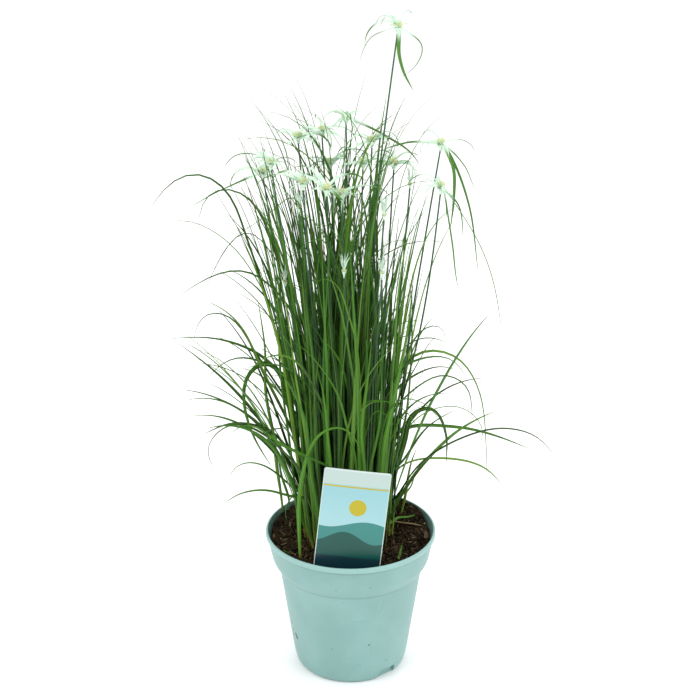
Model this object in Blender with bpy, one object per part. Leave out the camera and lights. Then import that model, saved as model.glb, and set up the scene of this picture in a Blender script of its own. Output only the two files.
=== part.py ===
"""Potted beak sedge: a moulded pot of soil with a label and a clump of flower stems and leaf shoots.

Units are metres and +Z is up. The origin is the middle of the pot's foot, and the front faces -Y.
Flower heads and long leaves are given as spots seen in one front view, and seen_place finds their places.
"""
import math
import random

import bmesh
import bpy
from mathutils import Matrix, Vector

MM = 0.001
UP = Vector((0.0, 0.0, 1.0))
SEED = 13
FIT_GAP = 0.3 * MM

# The pot, a trade size 19 cm across its rim.
POT_SIDES = 32
RIM_RADIUS = 94.8 * MM
POT_HEIGHT = 165.0 * MM
COLLAR_FOOT_RADIUS = 87.4 * MM
COLLAR_FOOT_HEIGHT = 131.0 * MM
BODY_TOP_RADIUS = 80.0 * MM
BODY_TOP_HEIGHT = 117.0 * MM
FOOT_RADIUS = 60.9 * MM
WALL = 2.4 * MM
FLOOR = 3.6 * MM
INNER_CORNER_RADIUS = 62.5 * MM
INNER_CORNER_HEIGHT = 20.0 * MM
INNER_FLOOR_RADIUS = 46.2 * MM

# The two notches in the foot, straight across the corner and opposite each other.
NOTCH_AZIMUTHS = (-49.0, 131.0)
NOTCH_WIDTH = 24.0 * MM
NOTCH_HEIGHT = 11.8 * MM
NOTCH_INNER_RADIUS = 56.0 * MM
NOTCH_DEPTH = 16.0 * MM

# The clump's feet, spread evenly over a disc towards the back of the pot.
CLUMP_CENTRE = Vector((-4.0, 27.0, 0.0)) * MM
CLUMP_RADIUS = 52.0 * MM
FOOT_COUNT = 51
FOOT_TURN = 137.5

# The soil: flat where the clump stands, lumpy round it and heaped against the wall at the back right.
SOIL_HEIGHT = 149.0 * MM
SOIL_FLAT_RADIUS = 57.0 * MM
SOIL_RING_SHARES = (0.35, 0.7)
SOIL_LUMP = 2.2 * MM
HEAP_AZIMUTH = 42.0
HEAP_RISE = 12.5 * MM
HEAP_WIDTH = 46.0

# The plant label, a plastic card pushed into the soil inside the front of the rim.
LABEL_WIDTH = 72.0 * MM
LABEL_LENGTH = 125.0 * MM
LABEL_THICKNESS = 0.8 * MM
LABEL_CORNER = 2.5 * MM
LABEL_FOOT = Vector((-5.8, -73.5, 143.0)) * MM
LABEL_ROLL = 6.4
LABEL_LEAN = 5.5

# What grows from each foot.
CROWN_FACET = 4.1 * MM
CROWN_RADIUS = 3.6 * MM
CROWN_HEIGHT = 5.0 * MM
CROWN_SPREAD = 3.0 * MM
PATH_STEPS = 24

SHOOT_SLOTS = 5
STEM_SLOTS = 3
LEAF_DEPTH = 0.9 * MM
TWIST_SHARE = 0.35
STEM_RADIUS = 1.15 * MM
STEM_RINGS = 5
BRACT_COUNT = 6
BRACT_WIDTH = 4.6 * MM
BRACT_DEPTH = 0.8 * MM
SPIKE_RADIUS = 4.8 * MM
SPIKE_HEIGHT = 8.5 * MM
CLEARANCE = 0.6 * MM
SIBLING_CLEARANCE = 0.25 * MM
CROWN_ZONE = 14.0 * MM
LEAST_RADIUS = 1.0 * MM
CELL = 8.0 * MM
SETBACK = 18.0 * MM

# The front view, 700 pixels square: its eye, its tilt down, and its middle and focal length in pixels.
# A spot seen in it is the pixel across and the pixel down, and the depth towards +Y in mm.
VIEW_EYE = Vector((-0.7, -1761.0, 1113.0)) * MM
VIEW_TILT = 22.6
VIEW_MIDDLE = 350.0
VIEW_FOCAL = 1779.0

# Flower heads: the spot where each stands, spots that its stem passes, and its long bracts' midlines.
HEADS = (
    ((398, 28, 0), [(377, 196, 0), (389, 97, 0)],
     [[(371, 37, 0), (358, 65, 0)], [(423, 47, 0), (414, 68, 0), (400, 78, 0)],
      [(399, 52, -6), (403, 70, -8), (414, 92, -10)]]),
    ((346, 119, 50), [], [[(380, 133, 50), (416, 159, 50), (421, 168, 50)], [(336, 131, 45)]]),
    ((322, 132, 60), [], []),
    ((372, 142, 30), [], [[(383, 135, 25)]]),
    ((363, 164, 30), [], []),
    ((441, 145, 20), [(432, 198, 20)],
     [[(452, 162, 15), (454, 199, 10), (450, 231, 5)], [(458, 172, 20), (467, 199, 10), (479, 279, 0)],
      [(412, 142, 20), (381, 150, 20)], [(460, 160, 28), (477, 194, 30)]]),
    ((441, 188, -20), [(423, 318, -20), (432, 264, -20)],
     [[(450, 231, -26), (456, 276, -32), (459, 293, -35)],
      [(462, 214, -20), (490, 269, -20), (504, 344, -20)], [(460, 208, -10), (463, 239, -8)]]),
    ((410, 185, 40), [], []),
    ((384, 216, -30), [], [[(372, 203, -36)], [(394, 205, -38)]]),
    ((327, 190, -50), [], [[(344, 201, -60)]]),
    ((303, 184, -40), [], []),
    ((298, 138, 40), [], []),
    ((271, 164, 0), [], [[(253, 171, -2)]]),
    ((263, 174, 40), [], [[(232, 185, 40), (185, 210, 38)]]),
    ((342, 195, -20), [], []),
    ((334, 210, 20), [], []),
    ((299, 209, -32), [], []),
    ((330, 164, 78), [], []),
    ((285, 283, -20), [], []),
    ((344, 272, -52), [], []),
    ((382, 274, -52), [], []),
    ((394, 165, 66), [], []),
)

# Long leaves that stand out of the clump: width in mm, then spots on the midline, the tip last.
LONG_LEAVES = (
    (3.4, [(248, 245, -15), (217, 180, -25), (193, 170, -30), (169, 182, -35), (148, 212, -35)]),
    (3.2, [(248, 245, 20), (228, 212, 25), (205, 173, 30)]),
    (3.0, [(290, 200, 40), (285, 142, 50), (264, 114, 60), (249, 101, 65)]),
    (3.2, [(280, 260, -20), (262, 199, -30), (237, 133, -45)]),
    (3.0, [(285, 260, -40), (273, 200, -50), (260, 136, -60)]),
    (3.2, [(268, 230, 0), (252, 198, 0), (229, 186, 0), (204, 193, 0), (198, 228, 0)]),
    (3.4, [(265, 295, 15), (229, 242, 25), (186, 219, 35), (157, 223, 35)]),
    (3.0, [(262, 240, -10), (247, 225, -15), (229, 244, -25), (209, 281, -30), (200, 301, -35)]),
    (3.4, [(275, 290, -45), (248, 269, -55), (216, 273, -70), (176, 298, -80)]),
    (3.0, [(261, 305, 50), (228, 276, 60), (204, 263, 70)]),
    (3.4, [(261, 369, -30), (234, 318, -40), (219, 306, -45), (201, 299, -45)]),
    (4.4, [(285, 340, -60), (268, 314, -70), (231, 288, -90)]),
    (3.0, [(250, 345, 25), (234, 319, 30), (215, 311, 35), (200, 318, 40), (193, 347, 45)]),
    (3.4, [(262, 356, -5), (236, 343, -10), (211, 337, -15), (165, 339, -20)]),
    (3.4, [(288, 379, -25), (268, 365, -35), (229, 359, -55), (206, 379, -60)]),
    (3.0, [(268, 406, 10), (247, 377, 15), (229, 361, 20)]),
    (5.0, [(262, 362, -30), (248, 372, -40), (244, 406, -65), (256, 442, -80), (274, 470, -90)]),
    (4.2, [(298, 469, -10), (271, 432, -20), (229, 424, -25), (202, 435, -30)]),
    (3.4, [(260, 432, 20), (240, 424, 25), (226, 427, 30), (207, 451, 35), (216, 472, 40)]),
    (3.0, [(275, 440, -55), (250, 424, -60), (235, 428, -70), (225, 440, -75)]),
    (3.0, [(285, 448, -60), (258, 437, -75), (246, 440, -80)]),
    (3.4, [(295, 491, 5), (261, 465, 10), (246, 463, 15), (233, 469, 15), (228, 482, 15)]),
    (3.4, [(289, 497, -15), (262, 490, -20), (239, 494, -20), (221, 506, -20)]),
    (3.8, [(425, 350, 15), (452, 354, 20), (478, 387, 30), (486, 445, 30), (487, 482, 30)]),
    (3.2, [(405, 365, -30), (439, 355, -45), (452, 357, -50), (468, 381, -55)]),
    (3.0, [(400, 385, 35), (442, 366, 55), (460, 371, 60)]),
    (3.4, [(412, 390, 0), (443, 374, 0), (467, 386, 0), (472, 419, 0)]),
    (4.8, [(405, 440, -45), (414, 413, -60), (433, 407, -70), (446, 432, -80), (446, 465, -80)]),
    (3.4, [(400, 440, -15), (429, 410, -20), (461, 406, -25), (484, 432, -30), (478, 449, -30)]),
    (3.2, [(400, 465, -30), (432, 423, -50), (458, 408, -60)]),
    (3.8, [(400, 430, 20), (452, 427, 35), (503, 438, 50), (532, 450, 55)]),
    (4.0, [(388, 506, -10), (421, 464, -15), (458, 440, -20), (506, 428, -30), (538, 437, -30), (557, 459, -30)]),
    (3.6, [(401, 466, 15), (447, 458, 25), (485, 468, 30), (504, 486, 30)]),
    (3.6, [(405, 362, -40), (422, 329, -50), (440, 322, -55), (449, 335, -60), (444, 348, -65)]),
    (3.8, [(375, 400, -60), (401, 406, -75), (425, 440, -90)]),
    (3.0, [(421, 357, 40), (432, 339, 45), (443, 329, 50)]),
    (4.4, [(375, 185, -10), (381, 128, -10), (387, 92, -10)]),
)


def clear_scene():
    for thing in list(bpy.data.objects):
        bpy.data.objects.remove(thing, do_unlink=True)


def make_material(name, colour, roughness):
    material = bpy.data.materials.new(name)
    material.use_nodes = True
    shader = material.node_tree.nodes["Principled BSDF"]
    shader.inputs["Base Color"].default_value = (*colour, 1.0)
    shader.inputs["Roughness"].default_value = roughness
    return material


def make_object(name, bm, material, smooth_angle=None):
    bmesh.ops.recalc_face_normals(bm, faces=bm.faces[:])
    mesh = bpy.data.meshes.new(name)
    bm.to_mesh(mesh)
    bm.free()
    mesh.materials.append(material)
    if smooth_angle is not None:
        mesh.shade_smooth()
        mesh.set_sharp_from_angle(angle=math.radians(smooth_angle))
    thing = bpy.data.objects.new(name, mesh)
    bpy.context.scene.collection.objects.link(thing)
    return thing


def direction(azimuth):
    """The level unit vector at an azimuth in degrees."""
    angle = math.radians(azimuth)
    return Vector((math.cos(angle), math.sin(angle), 0.0))


# Pot and soil

def pot_outside():
    """The pot's outer profile, from the edge of its flat foot up to the top of the rim."""
    collar_top = POT_HEIGHT - 5.0 * MM
    profile = [
        (FOOT_RADIUS - 3.9 * MM, 0.0),
        (FOOT_RADIUS - 1.7 * MM, 0.9 * MM),
        (FOOT_RADIUS, 3.0 * MM),
        (FOOT_RADIUS + 1.0 * MM, 5.6 * MM),
        (FOOT_RADIUS + 3.3 * MM, 14.0 * MM),
        (BODY_TOP_RADIUS, BODY_TOP_HEIGHT),
    ]
    shoulder_steps = 4
    for i in range(1, shoulder_steps):
        turn = math.pi * i / shoulder_steps
        blend = 0.5 - 0.5 * math.cos(turn)
        radius = BODY_TOP_RADIUS + (COLLAR_FOOT_RADIUS - BODY_TOP_RADIUS) * blend
        height = BODY_TOP_HEIGHT + (COLLAR_FOOT_HEIGHT - BODY_TOP_HEIGHT) * i / shoulder_steps
        profile.append((radius, height))
    profile.append((COLLAR_FOOT_RADIUS, COLLAR_FOOT_HEIGHT))
    profile.append((RIM_RADIUS - 0.7 * MM, collar_top))
    profile.append((RIM_RADIUS, collar_top + 1.6 * MM))
    profile.append((RIM_RADIUS - 0.3 * MM, POT_HEIGHT - 1.1 * MM))
    profile.append((RIM_RADIUS - 1.4 * MM, POT_HEIGHT))
    return profile


def pot_inside():
    """The pot's inner profile, from just under the rim down to the edge of its floor."""
    return [
        (RIM_RADIUS - WALL - 0.4 * MM, POT_HEIGHT - 0.9 * MM),
        (RIM_RADIUS - WALL - 1.3 * MM, POT_HEIGHT - 5.0 * MM),
        (COLLAR_FOOT_RADIUS - WALL, COLLAR_FOOT_HEIGHT + 1.0 * MM),
        (BODY_TOP_RADIUS - WALL, BODY_TOP_HEIGHT - 1.0 * MM),
        (INNER_CORNER_RADIUS, INNER_CORNER_HEIGHT),
        (INNER_FLOOR_RADIUS, FLOOR),
    ]


def lathe(profile, sides):
    """A closed turned body: the first and last points of the profile lie round flat end discs."""
    bm = bmesh.new()
    rings = []
    for radius, height in profile:
        rings.append([bm.verts.new(direction(360.0 * i / sides) * radius + UP * height) for i in range(sides)])
    for lower, upper in zip(rings, rings[1:]):
        bridge(bm, lower, upper)
    for ring in (rings[0], rings[-1]):
        height = ring[0].co.z
        fan(bm, ring, bm.verts.new((0.0, 0.0, height)))
    return bm, rings


def bridge(bm, lower, upper):
    count = len(lower)
    for i in range(count):
        after = (i + 1) % count
        bm.faces.new((lower[i], lower[after], upper[after], upper[i]))


def bridge_bowed(bm, lower, upper):
    """The faces between two rings that may be twisted, each split so that it bows outward."""
    count = len(lower)
    middle = sum((vert.co for vert in lower + upper), Vector()) / (2 * count)
    for i in range(count):
        after = (i + 1) % count
        rising = ((lower[i].co + upper[after].co) / 2 - middle).length
        falling = ((lower[after].co + upper[i].co) / 2 - middle).length
        if rising > falling:
            bm.faces.new((lower[i], lower[after], upper[after]))
            bm.faces.new((lower[i], upper[after], upper[i]))
        else:
            bm.faces.new((lower[i], lower[after], upper[i]))
            bm.faces.new((lower[after], upper[after], upper[i]))


def fan(bm, ring, centre):
    count = len(ring)
    for i in range(count):
        bm.faces.new((ring[i], ring[(i + 1) % count], centre))


def make_cutter(name, size, matrix):
    """A box that a Boolean takes away; it is a guide and no part of the model."""
    bm = bmesh.new()
    bmesh.ops.create_cube(bm, size=1.0, matrix=Matrix.Diagonal((*size, 1.0)))
    cutter = make_object(name, bm, bpy.data.materials["guide"])
    cutter.matrix_world = matrix
    cutter.hide_render = True
    cutter.display_type = "WIRE"
    return cutter


def cut(thing, cutter):
    modifier = thing.modifiers.new(cutter.name, "BOOLEAN")
    modifier.operation = "DIFFERENCE"
    modifier.solver = "EXACT"
    modifier.object = cutter


def make_pot(material):
    bm, _ = lathe(pot_outside() + pot_inside(), POT_SIDES)
    pot = make_object("pot", bm, material, smooth_angle=40.0)
    for number, azimuth in enumerate(NOTCH_AZIMUTHS, 1):
        middle = direction(azimuth) * (NOTCH_INNER_RADIUS + NOTCH_DEPTH / 2)
        middle.z = NOTCH_HEIGHT - NOTCH_DEPTH / 2
        matrix = Matrix.Translation(middle) @ Matrix.Rotation(math.radians(azimuth), 4, "Z")
        cut(pot, make_cutter(f"notch_cutter_{number}", (NOTCH_DEPTH, NOTCH_WIDTH, NOTCH_DEPTH), matrix))
    return pot


def soil_top(azimuth, share, rng):
    """Height of the soil's surface: share runs from 0 at the flat middle to 1 at the wall."""
    away = (azimuth - HEAP_AZIMUTH + 180.0) % 360.0 - 180.0
    heap = HEAP_RISE * math.exp(-(away / HEAP_WIDTH) ** 2)
    return SOIL_HEIGHT + share * heap + rng.uniform(-0.6, 1.0) * SOIL_LUMP * min(1.0, share * 2.0)


def wall_radius(height):
    """Radius of the pot's inner wall at a height."""
    inside = pot_inside()
    for (upper_radius, upper), (lower_radius, lower) in zip(inside, inside[1:]):
        if lower <= height <= upper:
            share = (height - lower) / (upper - lower)
            return lower_radius + (upper_radius - lower_radius) * share
    return inside[-1][0]


def make_soil(material, label_matrix):
    rng = random.Random(SEED)
    fit = FIT_GAP / math.cos(math.pi / POT_SIDES) + 0.1 * MM
    lower_profile = [(radius - fit, height + FIT_GAP) for radius, height in reversed(pot_inside()[2:])]
    bm = bmesh.new()
    rings = []
    for radius, height in lower_profile:
        rings.append([bm.verts.new(direction(360.0 * i / POT_SIDES) * radius + UP * height)
                      for i in range(POT_SIDES)])
    edge = []
    for i in range(POT_SIDES):
        azimuth = 360.0 * i / POT_SIDES
        height = soil_top(azimuth, 1.0, rng)
        edge.append(bm.verts.new(direction(azimuth) * (wall_radius(height) - fit) + UP * height))
    rings.append(edge)
    flat = [CLUMP_CENTRE + direction(360.0 * i / POT_SIDES) * SOIL_FLAT_RADIUS for i in range(POT_SIDES)]
    for share in reversed(SOIL_RING_SHARES):
        ring = []
        for i in range(POT_SIDES):
            place = flat[i].lerp(edge[i].co, share)
            place.z = soil_top(360.0 * i / POT_SIDES, share, rng)
            ring.append(bm.verts.new(place))
        rings.append(ring)
    rings.append([bm.verts.new(place + UP * SOIL_HEIGHT) for place in flat])
    for lower, upper in zip(rings, rings[1:]):
        bridge(bm, lower, upper)
    fan(bm, rings[0], bm.verts.new((0.0, 0.0, rings[0][0].co.z)))
    fan(bm, rings[-1], bm.verts.new(CLUMP_CENTRE + UP * SOIL_HEIGHT))
    soil = make_object("soil", bm, material, smooth_angle=40.0)
    size = (LABEL_WIDTH + 2 * FIT_GAP, LABEL_THICKNESS + 2 * FIT_GAP, LABEL_LENGTH + 2 * FIT_GAP)
    middle = label_matrix @ Matrix.Translation((0.0, 0.0, LABEL_LENGTH / 2))
    cut(soil, make_cutter("label_slot_cutter", size, middle))
    return soil


# Label

def label_placement():
    """The label's frame: its foot's middle at the origin, its length along +Z, its face towards -Y."""
    roll = Matrix.Rotation(math.radians(LABEL_ROLL), 4, "Y")
    lean = Matrix.Rotation(math.radians(-LABEL_LEAN), 4, "X")
    return Matrix.Translation(LABEL_FOOT) @ lean @ roll


def make_label(material, matrix):
    corner_steps = 3
    outline = []
    for x_side, z_side, start in ((1, 1, 0.0), (-1, 1, 90.0), (-1, -1, 180.0), (1, -1, 270.0)):
        middle_x = x_side * (LABEL_WIDTH / 2 - LABEL_CORNER)
        middle_z = LABEL_LENGTH / 2 + z_side * (LABEL_LENGTH / 2 - LABEL_CORNER)
        for i in range(corner_steps + 1):
            turn = math.radians(start + 90.0 * i / corner_steps)
            outline.append((middle_x + LABEL_CORNER * math.cos(turn), middle_z + LABEL_CORNER * math.sin(turn)))
    bm = bmesh.new()
    front = [bm.verts.new((x, -LABEL_THICKNESS / 2, z)) for x, z in outline]
    back = [bm.verts.new((x, LABEL_THICKNESS / 2, z)) for x, z in outline]
    bm.faces.new(front)
    bm.faces.new(back)
    bridge(bm, front, back)
    label = make_object("plant_label", bm, material)
    label.matrix_world = matrix
    return label


# Paths of stems, leaves and bracts

def curve_through(points, steps):
    """A smooth curve through points, as steps + 1 places evenly spread along its chords."""
    spans = [(b - a).length for a, b in zip(points, points[1:])]
    slopes = [(b - a) / span for a, b, span in zip(points, points[1:], spans)]
    tangents = [slopes[0]]
    for i in range(1, len(points) - 1):
        total = spans[i - 1] + spans[i]
        tangents.append((slopes[i - 1] * spans[i] + slopes[i] * spans[i - 1]) / total)
    tangents.append(slopes[-1])
    whole = sum(spans)
    places = []
    for step in range(steps + 1):
        along = whole * step / steps
        i = 0
        while i < len(spans) - 1 and along > spans[i]:
            along -= spans[i]
            i += 1
        t = min(1.0, along / spans[i])
        place = points[i] * (2 * t ** 3 - 3 * t ** 2 + 1)
        place += tangents[i] * spans[i] * (t ** 3 - 2 * t ** 2 + t)
        place += points[i + 1] * (3 * t ** 2 - 2 * t ** 3)
        place += tangents[i + 1] * spans[i] * (t ** 3 - t ** 2)
        places.append(place)
    return places


def seen_place(spot, shift=0.0):
    """The place seen at a spot of the front view, moved back by a shift along its line of sight."""
    across, down, depth = spot
    sideways = across - VIEW_MIDDLE
    upward = VIEW_MIDDLE - down
    tilt = math.radians(VIEW_TILT)
    forward = VIEW_FOCAL * math.cos(tilt) + upward * math.sin(tilt)
    sight = Vector((sideways, forward, upward * math.cos(tilt) - VIEW_FOCAL * math.sin(tilt)))
    return VIEW_EYE + sight * ((depth * MM + shift - VIEW_EYE.y) / forward)


def rising_path(foot, places, lift):
    """A curve that rises from the foot and then runs through the places."""
    start = foot + (places[0] - foot) * lift
    start.z = foot.z + (places[0].z - foot.z) * 0.45
    return curve_through([foot, start] + places, PATH_STEPS)


def depth_shifts(step, count):
    """Shifts in depth to try, from the clump's own setback outward."""
    for i in range(count):
        yield SETBACK + (1 if i % 2 else -1) * ((i + 1) // 2) * step


def bent_path(foot, heading, length, lean, bend, power, sway):
    """A blade that leaves its foot at one lean, in radians, and turns over by bend towards its tip."""
    side = UP.cross(heading)
    places = [foot.copy()]
    for step in range(PATH_STEPS):
        share = (step + 0.5) / PATH_STEPS
        angle = lean + bend * share ** power
        way = heading * math.sin(angle) + UP * math.cos(angle) + side * sway * share
        places.append(places[-1] + way.normalized() * length / PATH_STEPS)
    return places


def bract_path(start, heading, length, rise, droop):
    """A bract that leaves its head at a rise, in radians, and droops towards its tip."""
    steps = PATH_STEPS // 2
    places = [start.copy()]
    for step in range(steps):
        share = (step + 0.5) / steps
        angle = rise - droop * share ** 1.3
        places.append(places[-1] + (heading * math.cos(angle) + UP * math.sin(angle)) * length / steps)
    return places


def pick_rows(path, count):
    """Row numbers of a path's rings: one close above its foot, then more closely where it bends."""
    bend_weight = 120.0 * MM
    reach = [0.0]
    for i in range(1, len(path)):
        step = path[i] - path[i - 1]
        turn = step.angle(path[i - 1] - path[i - 2]) if i > 1 else 0.0
        reach.append(reach[-1] + step.length + bend_weight * turn)
    rows = [0, 1]
    for j in range(1, count):
        aim = reach[-1] * j / count
        row = min(range(len(path)), key=lambda i: abs(reach[i] - aim))
        rows.append(max(row, rows[-1] + 1))
    rows.append(len(path) - 1)
    return rows


def blade_share(share):
    """A blade's width along it: narrow at the foot, full by a third, then down to the tip."""
    return min(1.0, 0.5 + 1.6 * share) * (1.0 - 0.9 * share ** 2.4)


def even_share(share):
    return 1.0


def places_along(path, rows, radius, taper=even_share, spacing=3.0 * MM):
    """Places along the straight runs between rows, each with the radius there."""
    places = []
    for first, last in zip(rows, rows[1:]):
        span = path[last] - path[first]
        parts = max(1, math.ceil(span.length / spacing))
        for i in range(parts):
            share = (first + (last - first) * i / parts) / (len(path) - 1)
            places.append((path[first] + span * (i / parts), max(LEAST_RADIUS, radius * taper(share))))
    places.append((path[rows[-1]].copy(), LEAST_RADIUS))
    return places


class Space:
    """What is already taken, as places with a radius and an owner, kept in cells."""

    def __init__(self):
        self.cells = {}

    def add(self, owner, places):
        for place, radius in places:
            key = tuple(math.floor(value / CELL) for value in place)
            self.cells.setdefault(key, []).append((place, radius, owner))

    def near(self, place):
        base = [math.floor(value / CELL) for value in place]
        for dx in (-1, 0, 1):
            for dy in (-1, 0, 1):
                for dz in (-1, 0, 1):
                    yield from self.cells.get((base[0] + dx, base[1] + dy, base[2] + dz), ())

    def is_free(self, owner, places, middle, zone):
        """Whether places keep clear of the rest, except for the owner's own within a zone."""
        for place, radius in places:
            joined = (place - middle).length < zone
            for other, size, name in self.near(place):
                if name == owner and joined:
                    continue
                gap = SIBLING_CLEARANCE if name == owner else CLEARANCE
                if (other - place).length < radius + size + gap:
                    return False
        return True


def stays_outside(places):
    """Whether a path keeps above the soil and the rim, and out of the label's front."""
    for place, _ in places:
        radius = math.hypot(place.x, place.y)
        spread = math.hypot(place.x - CLUMP_CENTRE.x, place.y - CLUMP_CENTRE.y)
        if spread > SOIL_FLAT_RADIUS - 2 * MM and place.z < SOIL_HEIGHT + HEAP_RISE + 8 * MM:
            return False
        if radius > RIM_RADIUS - 10 * MM and place.z < POT_HEIGHT + 8 * MM and radius < RIM_RADIUS + 8 * MM:
            return False
        if place.y < -56 * MM and abs(place.x) < 50 * MM and place.z < 330 * MM:
            return False
    return True


# The clump: where each stem and leaf goes

def clump_feet():
    feet = []
    for i in range(FOOT_COUNT):
        radius = CLUMP_RADIUS * math.sqrt((i + 0.5) / FOOT_COUNT)
        feet.append(CLUMP_CENTRE + direction(i * FOOT_TURN) * radius + UP * (SOIL_HEIGHT + FIT_GAP))
    return feet


def take_nearest(feet, free, x, y):
    return min(free, key=lambda i: math.hypot(feet[i].x - x, feet[i].y - y))


def side_azimuth(head, side):
    return head["phase"] + 360.0 * side / BRACT_COUNT


def bract_start(head, side):
    return head["top"] + direction(side_azimuth(head, side)) * 2.6 * MM + UP * 1.0 * MM


def bract_share(share):
    return 1.0 - 0.75 * share


def bract_rows(path):
    """Row numbers of a bract's rings: a longer bract has more."""
    length = (path[-1] - path[0]).length
    steps = len(path) - 1
    if length < 32 * MM:
        return [0, steps // 2, steps]
    if length < 60 * MM:
        return [0, steps // 3, 2 * steps // 3, steps]
    return [0, steps // 4, steps // 2, 3 * steps // 4, steps]


def long_bracts(head, long_ones, shift):
    """The seen bracts of a head, each from the nearest side that is still open."""
    sides = {}
    for spots in long_ones:
        places = [seen_place(spot, shift) for spot in spots]
        aim = places[0] - head["top"]
        azimuth = math.degrees(math.atan2(aim.y, aim.x))
        open_sides = [side for side in range(BRACT_COUNT) if side not in sides]
        side = min(open_sides, key=lambda n: abs((side_azimuth(head, n) - azimuth + 180.0) % 360.0 - 180.0))
        sides[side] = (curve_through([bract_start(head, side)] + places, PATH_STEPS // 2), 1.0)
    return sides


def short_bract(head, side, owner, rng, space):
    """A bract drawn at random that keeps clear; it is drawn shorter with each try."""
    for attempt in range(60):
        length = rng.choice((14.0, 17.0, 22.0, 28.0, 40.0)) * rng.uniform(0.85, 1.2) * (1.0 - 0.012 * attempt)
        heading = direction(side_azimuth(head, side) + rng.uniform(-14.0, 14.0))
        rise = math.radians(rng.uniform(5.0, 45.0))
        droop = math.radians(rng.uniform(20.0, 70.0))
        path = bract_path(bract_start(head, side), heading, length * MM, rise, droop)
        places = places_along(path, bract_rows(path), BRACT_WIDTH * 0.5, bract_share)
        if space.is_free(owner, places, head["top"], 8.0 * MM):
            break
    space.add(owner, places)
    return path, rng.uniform(0.8, 1.05)


def plan_stem(plant, spot, passes, long_ones, rng, space):
    """A flower stem's path and its bracts, set back or forward until it keeps clear."""
    foot = plant["foot"]
    phase = rng.uniform(0.0, 60.0)
    if long_ones:
        phase = azimuth_between(seen_place(spot), seen_place(long_ones[0][0]))
    for shift in depth_shifts(5.0 * MM, 21):
        head = {"top": seen_place(spot, shift), "phase": phase}
        start = slot_start(plant, 0)
        path = rising_path(start, [seen_place(p, shift) for p in passes] + [head["top"] - UP * 2.0 * MM], 0.25)
        sides = long_bracts(head, long_ones, shift)
        taken = places_along(path, pick_rows(path, STEM_RINGS), STEM_RADIUS)
        taken.append((head["top"] + UP * 4.0 * MM, SPIKE_RADIUS + 1.5 * MM))
        for curve, _ in sides.values():
            taken += places_along(curve, bract_rows(curve), BRACT_WIDTH * 0.5, bract_share)
        if space.is_free(plant["name"], taken, foot, CROWN_ZONE):
            break
    space.add(plant["name"], taken)
    for side in range(BRACT_COUNT):
        if side not in sides:
            sides[side] = short_bract(head, side, plant["name"], rng, space)
    plant["head"] = head
    plant["bracts"] = [sides[side] for side in range(BRACT_COUNT)]
    plant["slots"][0] = {"kind": "stem", "path": path, "rows": pick_rows(path, STEM_RINGS)}


def plan_long_leaf(plant, width, spots, space):
    """A seen leaf from the nearest open slot, moved along the line of sight until it keeps clear."""
    open_slots = [i for i, slot in enumerate(plant["slots"]) if slot is None]
    for shift in depth_shifts(5.0 * MM, 25):
        moved = [seen_place(spot, shift) for spot in spots]
        azimuth = azimuth_between(plant["foot"], moved[0])
        slot = min(open_slots, key=lambda i: abs((slot_azimuth(plant, i) - azimuth + 180.0) % 360.0 - 180.0))
        path = rising_path(slot_start(plant, slot), moved, 0.22)
        rows = pick_rows(path, 5)
        samples = places_along(path, rows, width * 0.5 * MM, blade_share)
        if space.is_free(plant["name"], samples, plant["foot"], CROWN_ZONE):
            space.add(plant["name"], samples)
            plant["slots"][slot] = {"kind": "leaf", "path": path, "rows": rows, "width": width * MM}
            return True
    return False


def plan_leaf(plant, slot, rng, space):
    """A leaf drawn at random, that fans out from the clump and keeps clear of the others."""
    offset = plant["foot"] - CLUMP_CENTRE
    offset.z = 0.0
    facing = direction(slot_azimuth(plant, slot))
    for attempt in range(300):
        outward = facing + offset / CLUMP_RADIUS * rng.uniform(0.3, 1.4)
        azimuth = math.degrees(math.atan2(outward.y, outward.x)) + rng.uniform(-25.0, 25.0)
        inward = offset.dot(direction(azimuth)) < -0.3 * CLUMP_RADIUS
        length = rng.triangular(230.0, 480.0, 410.0) * (1.0 - 0.0015 * attempt) * MM
        lean = math.radians(rng.uniform(0.0, 3.0) + 5.0 * rng.random() * offset.length / CLUMP_RADIUS)
        arching = rng.random() < 0.3 and not inward
        bend = math.radians(rng.uniform(55.0, 120.0) if arching else rng.uniform(4.0, 30.0))
        length *= 0.8 if arching else 1.0
        power = rng.uniform(2.0, 4.5)
        sway = rng.uniform(-0.12, 0.12)
        width = rng.uniform(2.2, 4.4) * MM
        path = bent_path(slot_start(plant, slot), direction(azimuth), length, lean, bend, power, sway)
        rows = pick_rows(path, 4 if arching else 3)
        samples = places_along(path, rows, width * 0.5, blade_share)
        tip = path[-1]
        if not (-150 * MM < tip.x < 128 * MM and abs(tip.y - CLUMP_CENTRE.y) < 150 * MM):
            continue
        if stays_outside(samples) and space.is_free(plant["name"], samples, plant["foot"], CROWN_ZONE):
            space.add(plant["name"], samples)
            plant["slots"][slot] = {"kind": "leaf", "path": path, "rows": rows, "width": width}
            return


def slot_azimuth(plant, slot):
    return plant["lead"] + 360.0 * slot / len(plant["slots"])


def slot_start(plant, slot):
    return plant["foot"] + direction(slot_azimuth(plant, slot)) * CROWN_SPREAD


def azimuth_between(first, last):
    return math.degrees(math.atan2(last[1] - first[1], last[0] - first[0]))


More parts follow.
